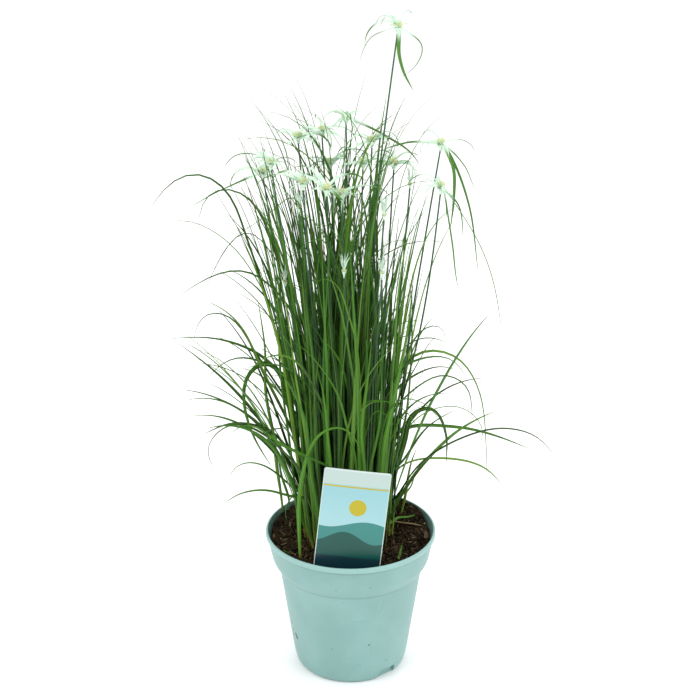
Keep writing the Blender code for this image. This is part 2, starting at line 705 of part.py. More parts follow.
def plan_clump():
    """Every stem and shoot with its foot and what grows from each slot of its crown."""
    rng = random.Random(SEED)
    space = Space()
    label = label_placement()
    across = [LABEL_WIDTH * (i / 16 - 0.5) for i in range(17)]
    upward = [LABEL_LENGTH * i / 28 for i in range(29)]
    space.add("plant_label", [(label @ Vector((x, 0.0, z)), 2.5 * MM) for x in across for z in upward])
    feet = clump_feet()
    free = set(range(FOOT_COUNT))
    stems = []
    for number, (spot, passes, long_ones) in enumerate(HEADS, 1):
        stand = seen_place(spot)
        foot = take_nearest(feet, free, stand.x * 0.5, stand.y * 0.5)
        free.remove(foot)
        lead = azimuth_between(feet[foot], stand)
        stems.append({"name": f"flower_stem_{number:02d}", "foot": feet[foot], "lead": lead,
                      "slots": [None] * STEM_SLOTS})
    shoots = []
    for number, foot in enumerate(sorted(free), 1):
        lead = azimuth_between(CLUMP_CENTRE, feet[foot])
        shoots.append({"name": f"leaf_shoot_{number:02d}", "foot": feet[foot], "lead": lead,
                       "slots": [None] * SHOOT_SLOTS})
    for plant in stems + shoots:
        space.add(plant["name"], [(plant["foot"] + UP * CROWN_HEIGHT / 2, CROWN_RADIUS)])
    for plant, (spot, passes, long_ones) in zip(stems, HEADS):
        plan_stem(plant, spot, passes, long_ones, rng, space)
    for width, spots in LONG_LEAVES:
        root = seen_place(spots[0])
        waiting = [shoot for shoot in shoots if sum(slot is not None for slot in shoot["slots"]) < 2]
        waiting.sort(key=lambda shoot: math.hypot(shoot["foot"].x - root.x * 0.5,
                                                  shoot["foot"].y - root.y * 0.5))
        any(plan_long_leaf(shoot, width, spots, space) for shoot in waiting[:8])
    for plant in shoots + stems:
        for slot, grown in enumerate(plant["slots"]):
            if grown is None:
                plan_leaf(plant, slot, rng, space)
    return stems + shoots


# Solids of the clump

def path_frame(path, row, side):
    """Tangent, sideways and upward directions of a path at one row."""
    before = path[max(0, row - 1)]
    after = path[min(len(path) - 1, row + 1)]
    tangent = (after - before).normalized()
    across = (side - tangent * side.dot(tangent)).normalized()
    return tangent, across, tangent.cross(across)


def close_tip(bm, ring, tip_place):
    fan(bm, ring, bm.verts.new(tip_place))


def grow_leaf(bm, root, leaf, azimuth):
    """A three-sided blade from a crown's facet, at its azimuth, to a point."""
    path = leaf["path"]
    turn = (azimuth_between(path[0], path[-1]) - azimuth + 180.0) % 360.0 - 180.0
    if abs(turn) > 90.0:
        turn -= math.copysign(180.0, turn)
    ring = root
    for row in leaf["rows"][1:-1]:
        share = row / (len(path) - 1)
        side = UP.cross(direction(azimuth + turn * min(1.0, max(0.0, share - 0.05) / TWIST_SHARE)))
        _, across, upper = path_frame(path, row, side)
        half = across * leaf["width"] / 2 * blade_share(share)
        ridge = upper * LEAF_DEPTH * (0.3 + 0.7 * blade_share(share))
        place = path[row]
        after = [bm.verts.new(place + ridge), bm.verts.new(place - half), bm.verts.new(place + half)]
        bridge_bowed(bm, ring, after)
        ring = after
    close_tip(bm, ring, path[-1])


def grow_bract(bm, root, path, width, side):
    """A flat four-sided bract from one side of a head to a point."""
    ring = root
    for row in bract_rows(path)[1:-1]:
        share = row / (len(path) - 1)
        _, across, upper = path_frame(path, row, side)
        half = across * BRACT_WIDTH * width / 2 * bract_share(share)
        lift = upper * BRACT_DEPTH / 2 * (1.0 - 0.4 * share)
        place = path[row]
        corners = (place - half - lift, place + half - lift, place + half + lift, place - half + lift)
        after = [bm.verts.new(corner) for corner in corners]
        bridge_bowed(bm, ring, after)
        ring = after
    close_tip(bm, ring, path[-1])


def grow_head(bm, ring, plant, start):
    """The star of bracts and the domed spikelets, from the stem's last ring; start pairs their corners."""
    top = plant["head"]["top"]
    angles = [side_azimuth(plant["head"], i - 0.5) for i in range(BRACT_COUNT)]
    lower = [bm.verts.new(top + direction(angle) * 2.3 * MM) for angle in angles]
    upper = [bm.verts.new(top + direction(angle) * 2.7 * MM + UP * 2.0 * MM) for angle in angles]
    for i in range(3):
        after = (i + 1) % 3
        first, middle, last = (lower[(start + 2 * i + step) % BRACT_COUNT] for step in range(3))
        bm.faces.new((ring[i], first, middle))
        bm.faces.new((ring[i], middle, ring[after]))
        bm.faces.new((ring[after], middle, last))
    for i, (path, width) in enumerate(plant["bracts"]):
        after = (i + 1) % BRACT_COUNT
        heading = direction(side_azimuth(plant["head"], i))
        root = [lower[i], lower[after], upper[after], upper[i]]
        grow_bract(bm, root, path, width, UP.cross(heading))
    belly = [bm.verts.new(top + direction(angle) * SPIKE_RADIUS + UP * (2.0 * MM + SPIKE_HEIGHT * 0.35))
             for angle in angles]
    bridge(bm, upper, belly)
    close_tip(bm, belly, top + UP * (2.0 * MM + SPIKE_HEIGHT))


def grow_stem(bm, root, plant, stem):
    path = stem["path"]
    ring = root
    whole = side_azimuth(plant["head"], 2.5) - plant["lead"]
    turn = (whole + 60.0) % 120.0 - 60.0
    for row in stem["rows"][1:]:
        share = row / (len(path) - 1)
        outward = direction(plant["lead"] + turn * min(1.0, max(0.0, share - 0.05) / TWIST_SHARE))
        tangent, across, upper = path_frame(path, row, UP.cross(outward))
        forward = across.cross(tangent)
        radius = STEM_RADIUS * (1.0 - 0.25 * share)
        place = path[row]
        wide = across * radius * math.sin(math.radians(60.0))
        near = forward * radius * math.cos(math.radians(60.0))
        corners = (place - forward * radius, place + near - wide, place + near + wide)
        after = [bm.verts.new(corner) for corner in corners]
        bridge_bowed(bm, ring, after)
        ring = after
    thirds = round((whole - turn) / 120.0)
    grow_head(bm, ring, plant, -2 * thirds)


def grow_plant(plant, material):
    """One closed solid: a crown that stands on the soil, with its blades and stem grown from its top."""
    count = len(plant["slots"])
    radius = CROWN_FACET / 2 / math.sin(math.pi / count)
    corners = [direction(slot_azimuth(plant, i - 0.5)) * radius for i in range(count)]
    bm = bmesh.new()
    foot = plant["foot"]
    bottom = [bm.verts.new(foot + corner) for corner in corners]
    top = [bm.verts.new(foot + corner + UP * CROWN_HEIGHT) for corner in corners]
    bm.faces.new(bottom)
    bridge(bm, bottom, top)
    centre = bm.verts.new(foot + UP * CROWN_HEIGHT)
    for i, grown in enumerate(plant["slots"]):
        root = [centre, top[i], top[(i + 1) % count]]
        if grown is None:
            bm.faces.new(root)
        elif grown["kind"] == "stem":
            grow_stem(bm, root, plant, grown)
        else:
            grow_leaf(bm, root, grown, slot_azimuth(plant, i))
    return make_object(plant["name"], bm, material, smooth_angle=30.0)


def main():
    clear_scene()
    make_material("guide", (0.5, 0.5, 0.5), 0.5)
    pot_plastic = make_material("pot_plastic", (0.33, 0.55, 0.52), 0.45)
    earth = make_material("potting_soil", (0.02, 0.013, 0.009), 0.95)
    card = make_material("label_card", (0.36, 0.62, 0.65), 0.35)
    stem_green = make_material("stem_green", (0.05, 0.12, 0.03), 0.55)
    leaf_green = make_material("leaf_green", (0.07, 0.17, 0.04), 0.5)
    label_matrix = label_placement()
    make_pot(pot_plastic)
    make_soil(earth, label_matrix)
    make_label(card, label_matrix)
    for plant in plan_clump():
        grow_plant(plant, stem_green if "head" in plant else leaf_green)


main()
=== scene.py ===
# Potted beak sedge, the looks: pot, soil, label, and a clump of flower stems and leaf shoots.
# Metres and +Z up, with the pot's foot at the origin and the label's side towards -Y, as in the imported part.
import math
import random

import bmesh
import bpy
from mathutils import Matrix, Vector, noise


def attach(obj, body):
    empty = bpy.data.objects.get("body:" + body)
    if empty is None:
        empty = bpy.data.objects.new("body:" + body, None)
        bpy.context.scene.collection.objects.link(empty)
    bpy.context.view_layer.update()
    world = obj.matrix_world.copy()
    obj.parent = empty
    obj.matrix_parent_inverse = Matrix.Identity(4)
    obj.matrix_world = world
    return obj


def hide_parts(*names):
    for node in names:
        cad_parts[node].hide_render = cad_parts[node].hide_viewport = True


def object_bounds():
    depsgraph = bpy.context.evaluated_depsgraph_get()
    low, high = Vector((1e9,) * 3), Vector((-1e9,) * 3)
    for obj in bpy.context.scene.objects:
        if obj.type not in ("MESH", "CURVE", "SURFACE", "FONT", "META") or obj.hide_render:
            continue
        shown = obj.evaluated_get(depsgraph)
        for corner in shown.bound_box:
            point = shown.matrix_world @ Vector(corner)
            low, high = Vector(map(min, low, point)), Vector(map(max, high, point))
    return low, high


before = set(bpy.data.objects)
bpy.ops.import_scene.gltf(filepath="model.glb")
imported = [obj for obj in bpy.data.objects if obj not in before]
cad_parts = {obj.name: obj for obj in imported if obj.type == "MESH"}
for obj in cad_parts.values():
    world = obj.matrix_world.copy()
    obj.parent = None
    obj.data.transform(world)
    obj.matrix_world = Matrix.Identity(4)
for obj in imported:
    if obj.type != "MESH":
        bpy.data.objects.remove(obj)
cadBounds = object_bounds()
mm = 0.001
up = Vector((0.0, 0.0, 1.0))
noise.seed_set(1)  # noise_vector would start from the clock otherwise
print("frame loaded,", len(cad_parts), "nodes")


# Camera, light and floor. The eye is in mm, and the picture's middle and focal length are in pixels.
view = {"eye": (-0.7, -1761.0, 1113.0), "lookDown": 22.6, "middle": 350.0, "focal": 1779.0, "film": 36.0}
studio = {
    "skyStrength": 1.0,
    "floorColour": (0.97, 0.97, 0.97),
    "softboxes": (  # name, place, size, power
        ("key", (-1.7, -1.5, 2.1), 1.4, 26.0),
        ("fill", (1.9, -1.1, 1.6), 1.4, 20.0),
        ("back", (0.2, 1.6, 2.3), 1.6, 18.0),
    ),
}
camera = bpy.data.objects.new("camera", bpy.data.cameras.new("camera"))
camera.data.lens = view["focal"] / (2.0 * view["middle"]) * view["film"]
camera.data.sensor_width = view["film"]
camera.location = Vector(view["eye"]) * mm
camera.rotation_euler = (math.radians(90.0 - view["lookDown"]), 0.0, 0.0)
bpy.context.scene.collection.objects.link(camera)
bpy.context.scene.camera = camera
bpy.context.scene.view_settings.view_transform = "Standard"

sky = bpy.data.worlds.new("studioSky")
sky.use_nodes = True
sky.node_tree.nodes["Background"].inputs["Color"].default_value = (1.0, 1.0, 1.0, 1.0)
sky.node_tree.nodes["Background"].inputs["Strength"].default_value = studio["skyStrength"]
bpy.context.scene.world = sky
for name, place, size, power in studio["softboxes"]:
    lamp = bpy.data.objects.new(name, bpy.data.lights.new(name, "AREA"))
    lamp.data.size = size
    lamp.data.energy = power
    lamp.location = place
    lamp.rotation_euler = (Vector((0.0, 0.0, 0.3)) - Vector(place)).to_track_quat("-Z", "Y").to_euler()
    bpy.context.scene.collection.objects.link(lamp)

floorMesh = bpy.data.meshes.new("floor")
floorMesh.from_pydata([(-9, -6, 0), (9, -6, 0), (9, 12, 0), (-9, 12, 0)], [], [(0, 1, 2, 3)])
floor = bpy.data.objects.new("floor", floorMesh)
floor.location.z = -0.2 * mm
bpy.context.scene.collection.objects.link(floor)
print("camera and studio set")


# A colour as it is seen, 0 to 255, in the linear values that a shader takes
def paint(red, green, blue):
    seen = [value / 255 for value in (red, green, blue)]
    return tuple(((v + 0.055) / 1.055) ** 2.4 if v > 0.04 else v / 12.92 for v in seen) + (1.0,)


# One material and the nodes that feed it
class Look:
    def __init__(self, name, roughness, specular=0.5):
        self.material = bpy.data.materials.new(name)
        self.material.use_nodes = True
        self.tree = self.material.node_tree
        self.shader = self.tree.nodes["Principled BSDF"]
        self.shader.inputs["Roughness"].default_value = roughness
        self.shader.inputs["Specular IOR Level"].default_value = specular

    def node(self, kind, inputs, **settings):
        made = self.tree.nodes.new("ShaderNode" + kind)
        for name, value in settings.items():
            setattr(made, name, value)
        for key, value in inputs.items():
            if isinstance(value, bpy.types.NodeSocket):
                self.tree.links.new(value, made.inputs[key])
            else:
                made.inputs[key].default_value = value
        return made

    def value(self, name):
        return self.node("Attribute", {}, attribute_name=name).outputs["Fac"]

    def place(self, scale=(1.0, 1.0, 1.0)):
        where = self.node("TexCoord", {}).outputs["Object"]
        return self.node("Mapping", {"Vector": where, "Scale": scale}).outputs["Vector"]

    def maths(self, operation, first, second=0.0):
        return self.node("Math", {0: first, 1: second}, operation=operation).outputs[0]

    def times(self, first, second):
        return self.maths("MULTIPLY", first, second)

    def plus(self, first, second):
        return self.maths("ADD", first, second)

    def minus(self, first, second):
        return self.maths("SUBTRACT", first, second)

    # How high a place is, and how far it is from a spot
    def height(self, place):
        return self.node("SeparateXYZ", {"Vector": place}).outputs["Z"]

    def distance(self, place, spot):
        return self.node("VectorMath", {0: place, 1: spot}, operation="DISTANCE").outputs["Value"]

    # 0 below low, 1 above high and smooth in between; the other way round where low is the larger
    def step(self, value, low, high):
        inputs = {"Value": value, "From Min": low, "From Max": high}
        return self.node("MapRange", inputs, interpolation_type="SMOOTHSTEP").outputs["Result"]

    def mix(self, share, first, second):
        return self.node("Mix", {0: share, 6: first, 7: second}, data_type="RGBA").outputs[2]

    def ramp(self, value, stops):
        made = self.node("ValToRGB", {"Fac": value})
        marks = made.color_ramp.elements
        while len(marks) < len(stops):
            marks.new(0.5)
        for mark, (position, colour) in zip(marks, stops):
            mark.position = position
            mark.color = colour
        return made.outputs["Color"]

    def grain(self, vector, scale, detail=3.0, roughness=0.55):
        inputs = {"Vector": vector, "Scale": scale, "Detail": detail, "Roughness": roughness}
        return self.node("TexNoise", inputs).outputs["Fac"]

    def bump(self, height, distance, strength=1.0):
        made = self.node("Bump", {"Height": height, "Distance": distance, "Strength": strength})
        self.tree.links.new(made.outputs["Normal"], self.shader.inputs["Normal"])

    def feed(self, socket, source):
        self.tree.links.new(source, self.shader.inputs[socket])


floorLook = Look("paleFloor", 0.9, 0.2)
floorLook.shader.inputs["Base Color"].default_value = studio["floorColour"] + (1.0,)
floorMesh.materials.append(floorLook.material)


# Vertices and faces of one piece, with the values that its looks read
class Pile:
    def __init__(self):
        self.places, self.faces, self.looks = [], [], []
        self.values = {"along": [], "across": [], "reach": [], "tone": []}

    def point(self, place, along=0.0, across=0.0, reach=0.0, tone=0.5):
        self.places.append(place)
        for name, value in zip(("along", "across", "reach", "tone"), (along, across, reach, tone)):
            self.values[name].append(value)
        return len(self.places) - 1

    def face(self, corners, look=0):
        self.faces.append(corners)
        self.looks.append(look)

    def band(self, lower, upper, look=0):
        count = len(lower)
        for i in range(count):
            after = (i + 1) % count
            self.face((lower[i], lower[after], upper[after], upper[i]), look)

    def cone(self, ring, tip, look=0):
        count = len(ring)
        for i in range(count):
            self.face((ring[i], ring[(i + 1) % count], tip), look)

    # A wall through rings, and the same with both ends closed
    def wall(self, rings, look=0):
        for lower, upper in zip(rings, rings[1:]):
            self.band(lower, upper, look)

    def tube(self, rings, look=0):
        self.wall(rings, look)
        self.face(rings[0], look)
        self.face(rings[-1], look)


def makePiece(name, pile, looks, replaced=(), sharpAngle=60.0):
    mesh = bpy.data.meshes.new(name)
    mesh.from_pydata(pile.places, [], pile.faces)
    for value, numbers in pile.values.items():
        mesh.attributes.new(value, "FLOAT", "POINT").data.foreach_set("value", numbers)
    for look in looks:
        mesh.materials.append(look.material)
    mesh.polygons.foreach_set("material_index", pile.looks)
    bm = bmesh.new()
    bm.from_mesh(mesh)
    bmesh.ops.recalc_face_normals(bm, faces=bm.faces[:])
    bm.to_mesh(mesh)
    bm.free()
    mesh.shade_smooth()
    mesh.set_sharp_from_angle(angle=math.radians(sharpAngle))
    piece = bpy.data.objects.new(name, mesh)
    bpy.context.scene.collection.objects.link(piece)
    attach(piece, "root")
    if replaced:
        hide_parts(*replaced)
    return piece


def direction(azimuth):
    angle = math.radians(azimuth)
    return Vector((math.cos(angle), math.sin(angle), 0.0))


# A level ring round the origin, with its radius and height in mm
def ringAround(pile, radius, height, count):
    return [pile.point((direction(360.0 * i / count) * radius + up * height) * mm) for i in range(count)]


# The place at a spot of the view, which is its pixel across, its pixel down and its depth towards +Y in mm
def seenPlace(spot, shift=0.0):
    across, down, depth = spot
    sideways = across - view["middle"]
    upward = view["middle"] - down
    tilt = math.radians(view["lookDown"])
    forward = view["focal"] * math.cos(tilt) + upward * math.sin(tilt)
    sight = Vector((sideways, forward, upward * math.cos(tilt) - view["focal"] * math.sin(tilt)))
    eye = Vector(view["eye"]) * mm
    return eye + sight * ((depth * mm + shift - eye.y) / forward)


# A smooth curve through points, as steps + 1 places evenly spread along its chords
def curveThrough(points, steps):
    spans = [(b - a).length for a, b in zip(points, points[1:])]
    slopes = [(b - a) / span for a, b, span in zip(points, points[1:], spans)]
    tangents = [slopes[0]]
    for i in range(1, len(points) - 1):
        total = spans[i - 1] + spans[i]
        tangents.append((slopes[i - 1] * spans[i] + slopes[i] * spans[i - 1]) / total)
    tangents.append(slopes[-1])
    whole = sum(spans)
    places = []
    for step in range(steps + 1):
        along = whole * step / steps
        i = 0
        while i < len(spans) - 1 and along > spans[i]:
            along -= spans[i]
            i += 1
        t = min(1.0, along / spans[i])
        place = points[i] * (2 * t ** 3 - 3 * t ** 2 + 1)
        place += tangents[i] * spans[i] * (t ** 3 - 2 * t ** 2 + t)
        place += points[i + 1] * (3 * t ** 2 - 2 * t ** 3)
        place += tangents[i + 1] * spans[i] * (t ** 3 - t ** 2)
        places.append(place)
    return places


# The pot: each corner of its profile is a radius, a height and how far it is rounded, all in mm
potShape = {
    "segments": 180,
    "outside": (
        (58.4, 0.0, 1.4), (61.3, 3.4, 2.4), (64.2, 14.0, 5.0), (79.8, 119.8, 0.5), (81.0, 121.0, 1.0),
        (87.5, 131.6, 4.5), (92.8, 157.6, 0.7), (94.8, 159.3, 0.8), (95.0, 163.4, 1.4), (94.0, 165.0, 1.0),
        (92.4, 165.0, 1.0),
    ),
    "inside": ((91.6, 160.0, 2.0), (85.0, 135.5, 4.0), (78.2, 121.5, 4.0), (62.7, 20.0, 4.0)),
    "floor": ((46.0, 3.6, 2.0), (20.0, 3.6, 0.0)), "floorHeight": 3.6, "footMiddle": (20.0, 0.0, 0.0),
    "ringSpacing": 7.0, "sharpAngle": 35.0,
    "notchAzimuths": (-49.0, 131.0), "notchTop": 21.0, "notchFoot": 27.0, "notchHeight": 12.0,
    "notchReach": (56.0, 72.0),
    "mouldMark": {"spots": ((345, 622), (358, 622), (371, 620)), "steps": 28, "stand": 0.45, "sunk": 0.12},
}
potPaint = {
    "body": paint(122, 161, 157), "pale": paint(131, 170, 166), "rubbedAndHighlight": paint(150, 188, 183),
    "creaseShade": paint(88, 128, 126), "speck": paint(24, 28, 22), "smear": paint(140, 146, 116),
    "specksEach": 0.022,
    "lip": (158.6, 160.2, 0.55),  # where the painted highlight on the lip starts and is full in mm, and how strong it is
    # Painted shade in the creases under the lip and under the collar: its foot, middle and top in mm, and how
    # strong
    "creaseShadeBands": ((155.8, 158.0, 159.0, 0.4), (118.6, 120.4, 122.6, 0.45)),
    # Dirt that the pot carries: pixel across and down in the view, radius in mm and how strong
    "dirt": (
        (297, 637, 2.8, 1.0), (296, 634, 2.2, 1.0), (294, 634, 2.2, 0.8), (293, 629, 2.0, 0.7),
        (292, 622, 2.0, 0.7), (302, 639, 0.6, 0.35), (305, 647, 0.5, 0.25), (307, 654, 0.6, 0.35),
        (322, 631, 0.6, 0.3), (343, 603, 0.6, 0.3), (336, 591, 0.8, 0.35), (370, 588, 0.7, 0.45),
        (332, 649, 0.8, 0.45), (344, 650, 0.6, 0.3), (369, 645, 0.9, 0.9), (371, 643, 0.6, 0.4),
        (371, 648, 1.0, 0.2), (341, 657, 0.5, 0.25), (346, 659, 0.5, 0.25), (350, 659, 0.5, 0.2),
        (360, 665, 0.7, 0.35), (372, 667, 0.8, 0.25), (386, 660, 0.9, 0.45), (382, 653, 0.5, 0.2),
        (379, 635, 0.5, 0.25), (318, 670, 0.7, 0.45), (332, 675, 0.9, 0.25), (328, 674, 0.6, 0.25),
        (370, 675, 0.5, 0.2), (322, 651, 0.6, 0.2), (314, 620, 0.5, 0.2), (309, 619, 0.5, 0.2),
    ),
    "smears": ((294, 630, 4.5, 0.4), (298, 637, 4.0, 0.2), (304, 643, 3.5, 0.15)),
}


# Radius of the outer wall at a height
def wallRadius(height):
    corners = potShape["outside"]
    for (lower, low, _), (upper, high, _) in zip(corners, corners[1:]):
        if low <= height <= high:
            return lower + (upper - lower) * (height - low) / (high - low)
    return corners[-1][0]


# The place on the outer wall that a pixel of the view shows
def onWall(across, down):
    for step in range(1000):
        place = seenPlace((across, down, step * 0.1 - 100.0))
        if math.hypot(place.x, place.y) <= wallRadius(place.z / mm) * mm:
            break
    return place


# The profile with each corner rounded off by an arc
def roundedCorners(corners, steps=5):
    places = [Vector(corners[0][:2])]
    for before, (radius, height, rounding), after in zip(corners, corners[1:], corners[2:]):
        corner = Vector((radius, height))
        to, on = Vector(before[:2]) - corner, Vector(after[:2]) - corner
        reach = min(rounding, to.length * 0.49, on.length * 0.49)
        start, end = corner + to.normalized() * reach, corner + on.normalized() * reach
        for i in range(steps + 1):
            share = i / steps
            places.append(start.lerp(corner, share).lerp(corner.lerp(end, share), share))
    places.append(Vector(corners[-1][:2]))
    # Long runs get rings of their own, so that the notches leave the shading of the wall alone
    filled = places[:1]
    for place in places[1:]:
        before, parts = filled[-1], math.ceil((place - filled[-1]).length / potShape["ringSpacing"])
        filled += [before.lerp(place, i / parts) for i in range(1, parts + 1)]
    return filled


def makePot(look):
    shape = potShape
    corners = (shape["footMiddle"],) + shape["outside"] + shape["inside"] + shape["floor"]
    pile = Pile()
    rings = [ringAround(pile, *corner, shape["segments"]) for corner in roundedCorners(corners)]
    pile.wall(rings)
    pile.cone(rings[0], pile.point(Vector()))
    pile.cone(rings[-1], pile.point(up * shape["floorHeight"] * mm))
    pot = makePiece("potShell", pile, [look], ["pot"], shape["sharpAngle"])
    for azimuth in shape["notchAzimuths"]:
        cutNotch(pot, azimuth)


# A notch straight across the foot's corner, with slanted ends
def cutNotch(pot, azimuth):
    top, foot, height = potShape["notchTop"] / 2, potShape["notchFoot"] / 2, potShape["notchHeight"]
    bm = bmesh.new()
    outline = ((-foot, -1.0), (foot, -1.0), (foot, 1.0), (top, height), (-top, height), (-foot, 1.0))
    near, far = [[bm.verts.new(Vector((x, y, z)) * mm) for y, z in outline] for x in potShape["notchReach"]]
    bm.faces.new(near)
    bm.faces.new(far)
    for i in range(len(outline)):
        after = (i + 1) % len(outline)
        bm.faces.new((near[i], near[after], far[after], far[i]))
    bmesh.ops.recalc_face_normals(bm, faces=bm.faces[:])
    mesh = bpy.data.meshes.new("notch")
    bm.to_mesh(mesh)
    bm.free()
    cutter = bpy.data.objects.new("notch", mesh)
    cutter.rotation_euler.z = math.radians(azimuth)
    bpy.context.scene.collection.objects.link(cutter)
    boolean = pot.modifiers.new("notch", "BOOLEAN")
    boolean.operation = "DIFFERENCE"
    boolean.solver = "EXACT"
    boolean.object = cutter
    bpy.context.view_layer.update()
    shaped = bpy.data.meshes.new_from_object(pot.evaluated_get(bpy.context.evaluated_depsgraph_get()))
    pot.modifiers.clear()
    pot.data = shaped
    shaped.set_sharp_from_angle(angle=math.radians(potShape["sharpAngle"]))
    bpy.data.objects.remove(cutter)


# The faint curved line that the mould left on the front
def makeMouldMark(look):
    mark = potShape["mouldMark"]
    pile, rings = Pile(), []
    for i, place in enumerate(curveThrough([onWall(*spot) for spot in mark["spots"]], mark["steps"])):
        outward = Vector((place.x, place.y, 0.0)).normalized()
        stand = mark["stand"] * math.sin(math.pi * i / mark["steps"]) ** 0.5 - mark["sunk"]
        middle = outward * wallRadius(place.z / mm) * mm + up * place.z
        ring = [middle - (outward * 0.6 + up * 0.5) * mm, middle + outward * stand * mm,
                middle + (up * 0.5 - outward * 0.4) * mm]
        rings.append([pile.point(corner) for corner in ring])
    pile.tube(rings)
    makePiece("potMouldMark", pile, [look])


def potLook():
    look = Look("potPlastic", 0.42, 0.45)
    place = look.place()
    cloud = look.grain(place, 16.0, 3.0)
    colour = look.mix(look.step(cloud, 0.35, 0.7), potPaint["body"], potPaint["pale"])
    scuff = look.step(look.grain(look.place((1.0, 1.0, 0.35)), 95.0, 4.0), 0.62, 0.8)
    colour = look.mix(look.times(scuff, 0.22), colour, potPaint["rubbedAndHighlight"])
    for across, down, radius, strength in potPaint["smears"]:
        away = look.distance(place, onWall(across, down))
        broken = look.plus(away, look.times(look.grain(place, 420.0), 4.0 * mm))
        share = look.times(look.step(broken, (radius + 2.0) * mm, radius * 0.5 * mm), strength)
        colour = look.mix(share, colour, potPaint["smear"])
    # Fine dust specks all over, and the darker ones where the pot has them
    cells = look.node("TexVoronoi", {"Vector": place, "Scale": 130.0}, feature="F1")
    rare = look.step(look.node("SeparateColor", {"Color": cells.outputs["Color"]}).outputs[0],
                     potPaint["specksEach"], potPaint["specksEach"] * 0.8)
    dot = look.step(cells.outputs["Distance"], 0.11, 0.05)
    colour = look.mix(look.times(look.times(rare, dot), 0.6), colour, potPaint["speck"])
    for across, down, radius, strength in potPaint["dirt"]:
        away = look.distance(place, onWall(across, down))
        share = look.times(look.step(away, (radius + 0.5) * mm, radius * 0.6 * mm), strength)
        colour = look.mix(share, colour, potPaint["speck"])
    # Painted highlight: the rolled lip is made paler than the wall; painted shade darkens the two creases
    height = look.height(place)
    start, full, strength = potPaint["lip"]
    lip = look.times(look.step(height, start * mm, full * mm), strength)
    colour = look.mix(lip, colour, potPaint["rubbedAndHighlight"])
    # Painted shade along each crease, in a darker pot colour
    for low, middle, high, strength in potPaint["creaseShadeBands"]:
        line = look.times(look.step(height, low * mm, middle * mm), look.step(height, high * mm, middle * mm))
        colour = look.mix(look.times(line, strength), colour, potPaint["creaseShade"])
    look.feed("Base Color", colour)
    look.feed("Roughness", look.plus(look.times(cloud, 0.12), 0.36))
    look.bump(look.grain(place, 900.0, 2.0), 0.06 * mm, 0.5)
    return look


potPlastic = potLook()
makePot(potPlastic)
makeMouldMark(potPlastic)
print("pot made")


# The soil, in mm: level in the middle, and heaped towards the wall at the back right and back left
soilShape = {
    "rings": 84, "segments": 300,
    "height": 149.0, "wallRadius": 88.7, "flatCentre": (-4.0, 27.0), "flatRadius": 57.0,
    "heapAzimuth": 42.0, "heapRise": 17.0, "heapWidth": 40.0,
    "backAzimuth": 140.0, "backRise": 13.0, "backWidth": 58.0,
    "clods": 3.2, "clodSize": 5.2, "grit": 1.6, "gritSize": 2.1, "swell": 1.5, "swellSize": 17.0,
    "underside": ((86.4, 141.0), (83.9, 134.5), (77.6, 119.5), (62.1, 19.6), (45.6, 4.2)), "foot": 4.0,
    "crumbs": 2300, "crumbEdge": 85.0, "fibres": 520, "twigs": 46, "strandEdge": 80.0, "seed": 5,
}
soilPaint = {
    "patches": ((0.34, paint(6, 4, 2)), (0.5, paint(24, 19, 12)), (0.7, paint(64, 52, 35))),
    "grain": paint(98, 81, 55), "gapShade": paint(6, 4, 2), "crumb": paint(98, 80, 54),
    "fibres": ((0.0, paint(36, 27, 18)), (0.4, paint(66, 52, 35)), (0.75, paint(124, 102, 72)),
               (1.0, paint(190, 172, 138))),
    "straw": paint(176, 142, 40), "streak": paint(52, 40, 26),
}


# Height of the soil in mm at a place on it, before the clods
def soilRest(x, y):
    shape = soilShape
    away = Vector((x - shape["flatCentre"][0], y - shape["flatCentre"][1]))
    toWall = shape["wallRadius"] - math.hypot(x, y)
    beyond = max(0.0, away.length - shape["flatRadius"])
    share = beyond / (beyond + max(0.0, toWall)) if beyond else 0.0
    level = shape["height"]
    for side in ("heap", "back"):
        turn = (math.degrees(math.atan2(y, x)) - shape[side + "Azimuth"] + 180.0) % 360.0 - 180.0
        level += share * shape[side + "Rise"] * math.exp(-(turn / shape[side + "Width"]) ** 2)
    return level


def soilTop(x, y):
    shape, place = soilShape, Vector((x, y, 0.0))
    clod = 0.5 - noise.voronoi(place / shape["clodSize"])[0][0]
    grit = 0.5 - noise.voronoi(place / shape["gritSize"] + up * 3.0)[0][0]
    swell = noise.fractal(place / shape["swellSize"], 1.0, 2.0, 3)
    return soilRest(x, y) + clod * shape["clods"] + grit * shape["grit"] + swell * shape["swell"]


def makeSoilBed(look):
    shape = soilShape
    pile = Pile()
    rings = []
    for j in range(1, shape["rings"] + 1):
        radius = shape["wallRadius"] * j / shape["rings"]
        ring = []
        for i in range(shape["segments"]):
            x, y, _ = direction(360.0 * i / shape["segments"]) * radius
            tone = noise.noise(Vector((x, y, 9.0)) / 9.0)
            ring.append(pile.point(Vector((x, y, soilTop(x, y))) * mm, tone=tone))
        rings.append(ring)
    pile.cone(rings[0], pile.point(Vector((0.0, 0.0, soilTop(0.0, 0.0))) * mm))
    rings += [ringAround(pile, radius, height, shape["segments"]) for radius, height in shape["underside"]]
    pile.wall(rings)
    pile.cone(rings[-1], pile.point(up * shape["foot"] * mm))
    makePiece("soilBed", pile, [look], ["soil"], sharpAngle=80.0)


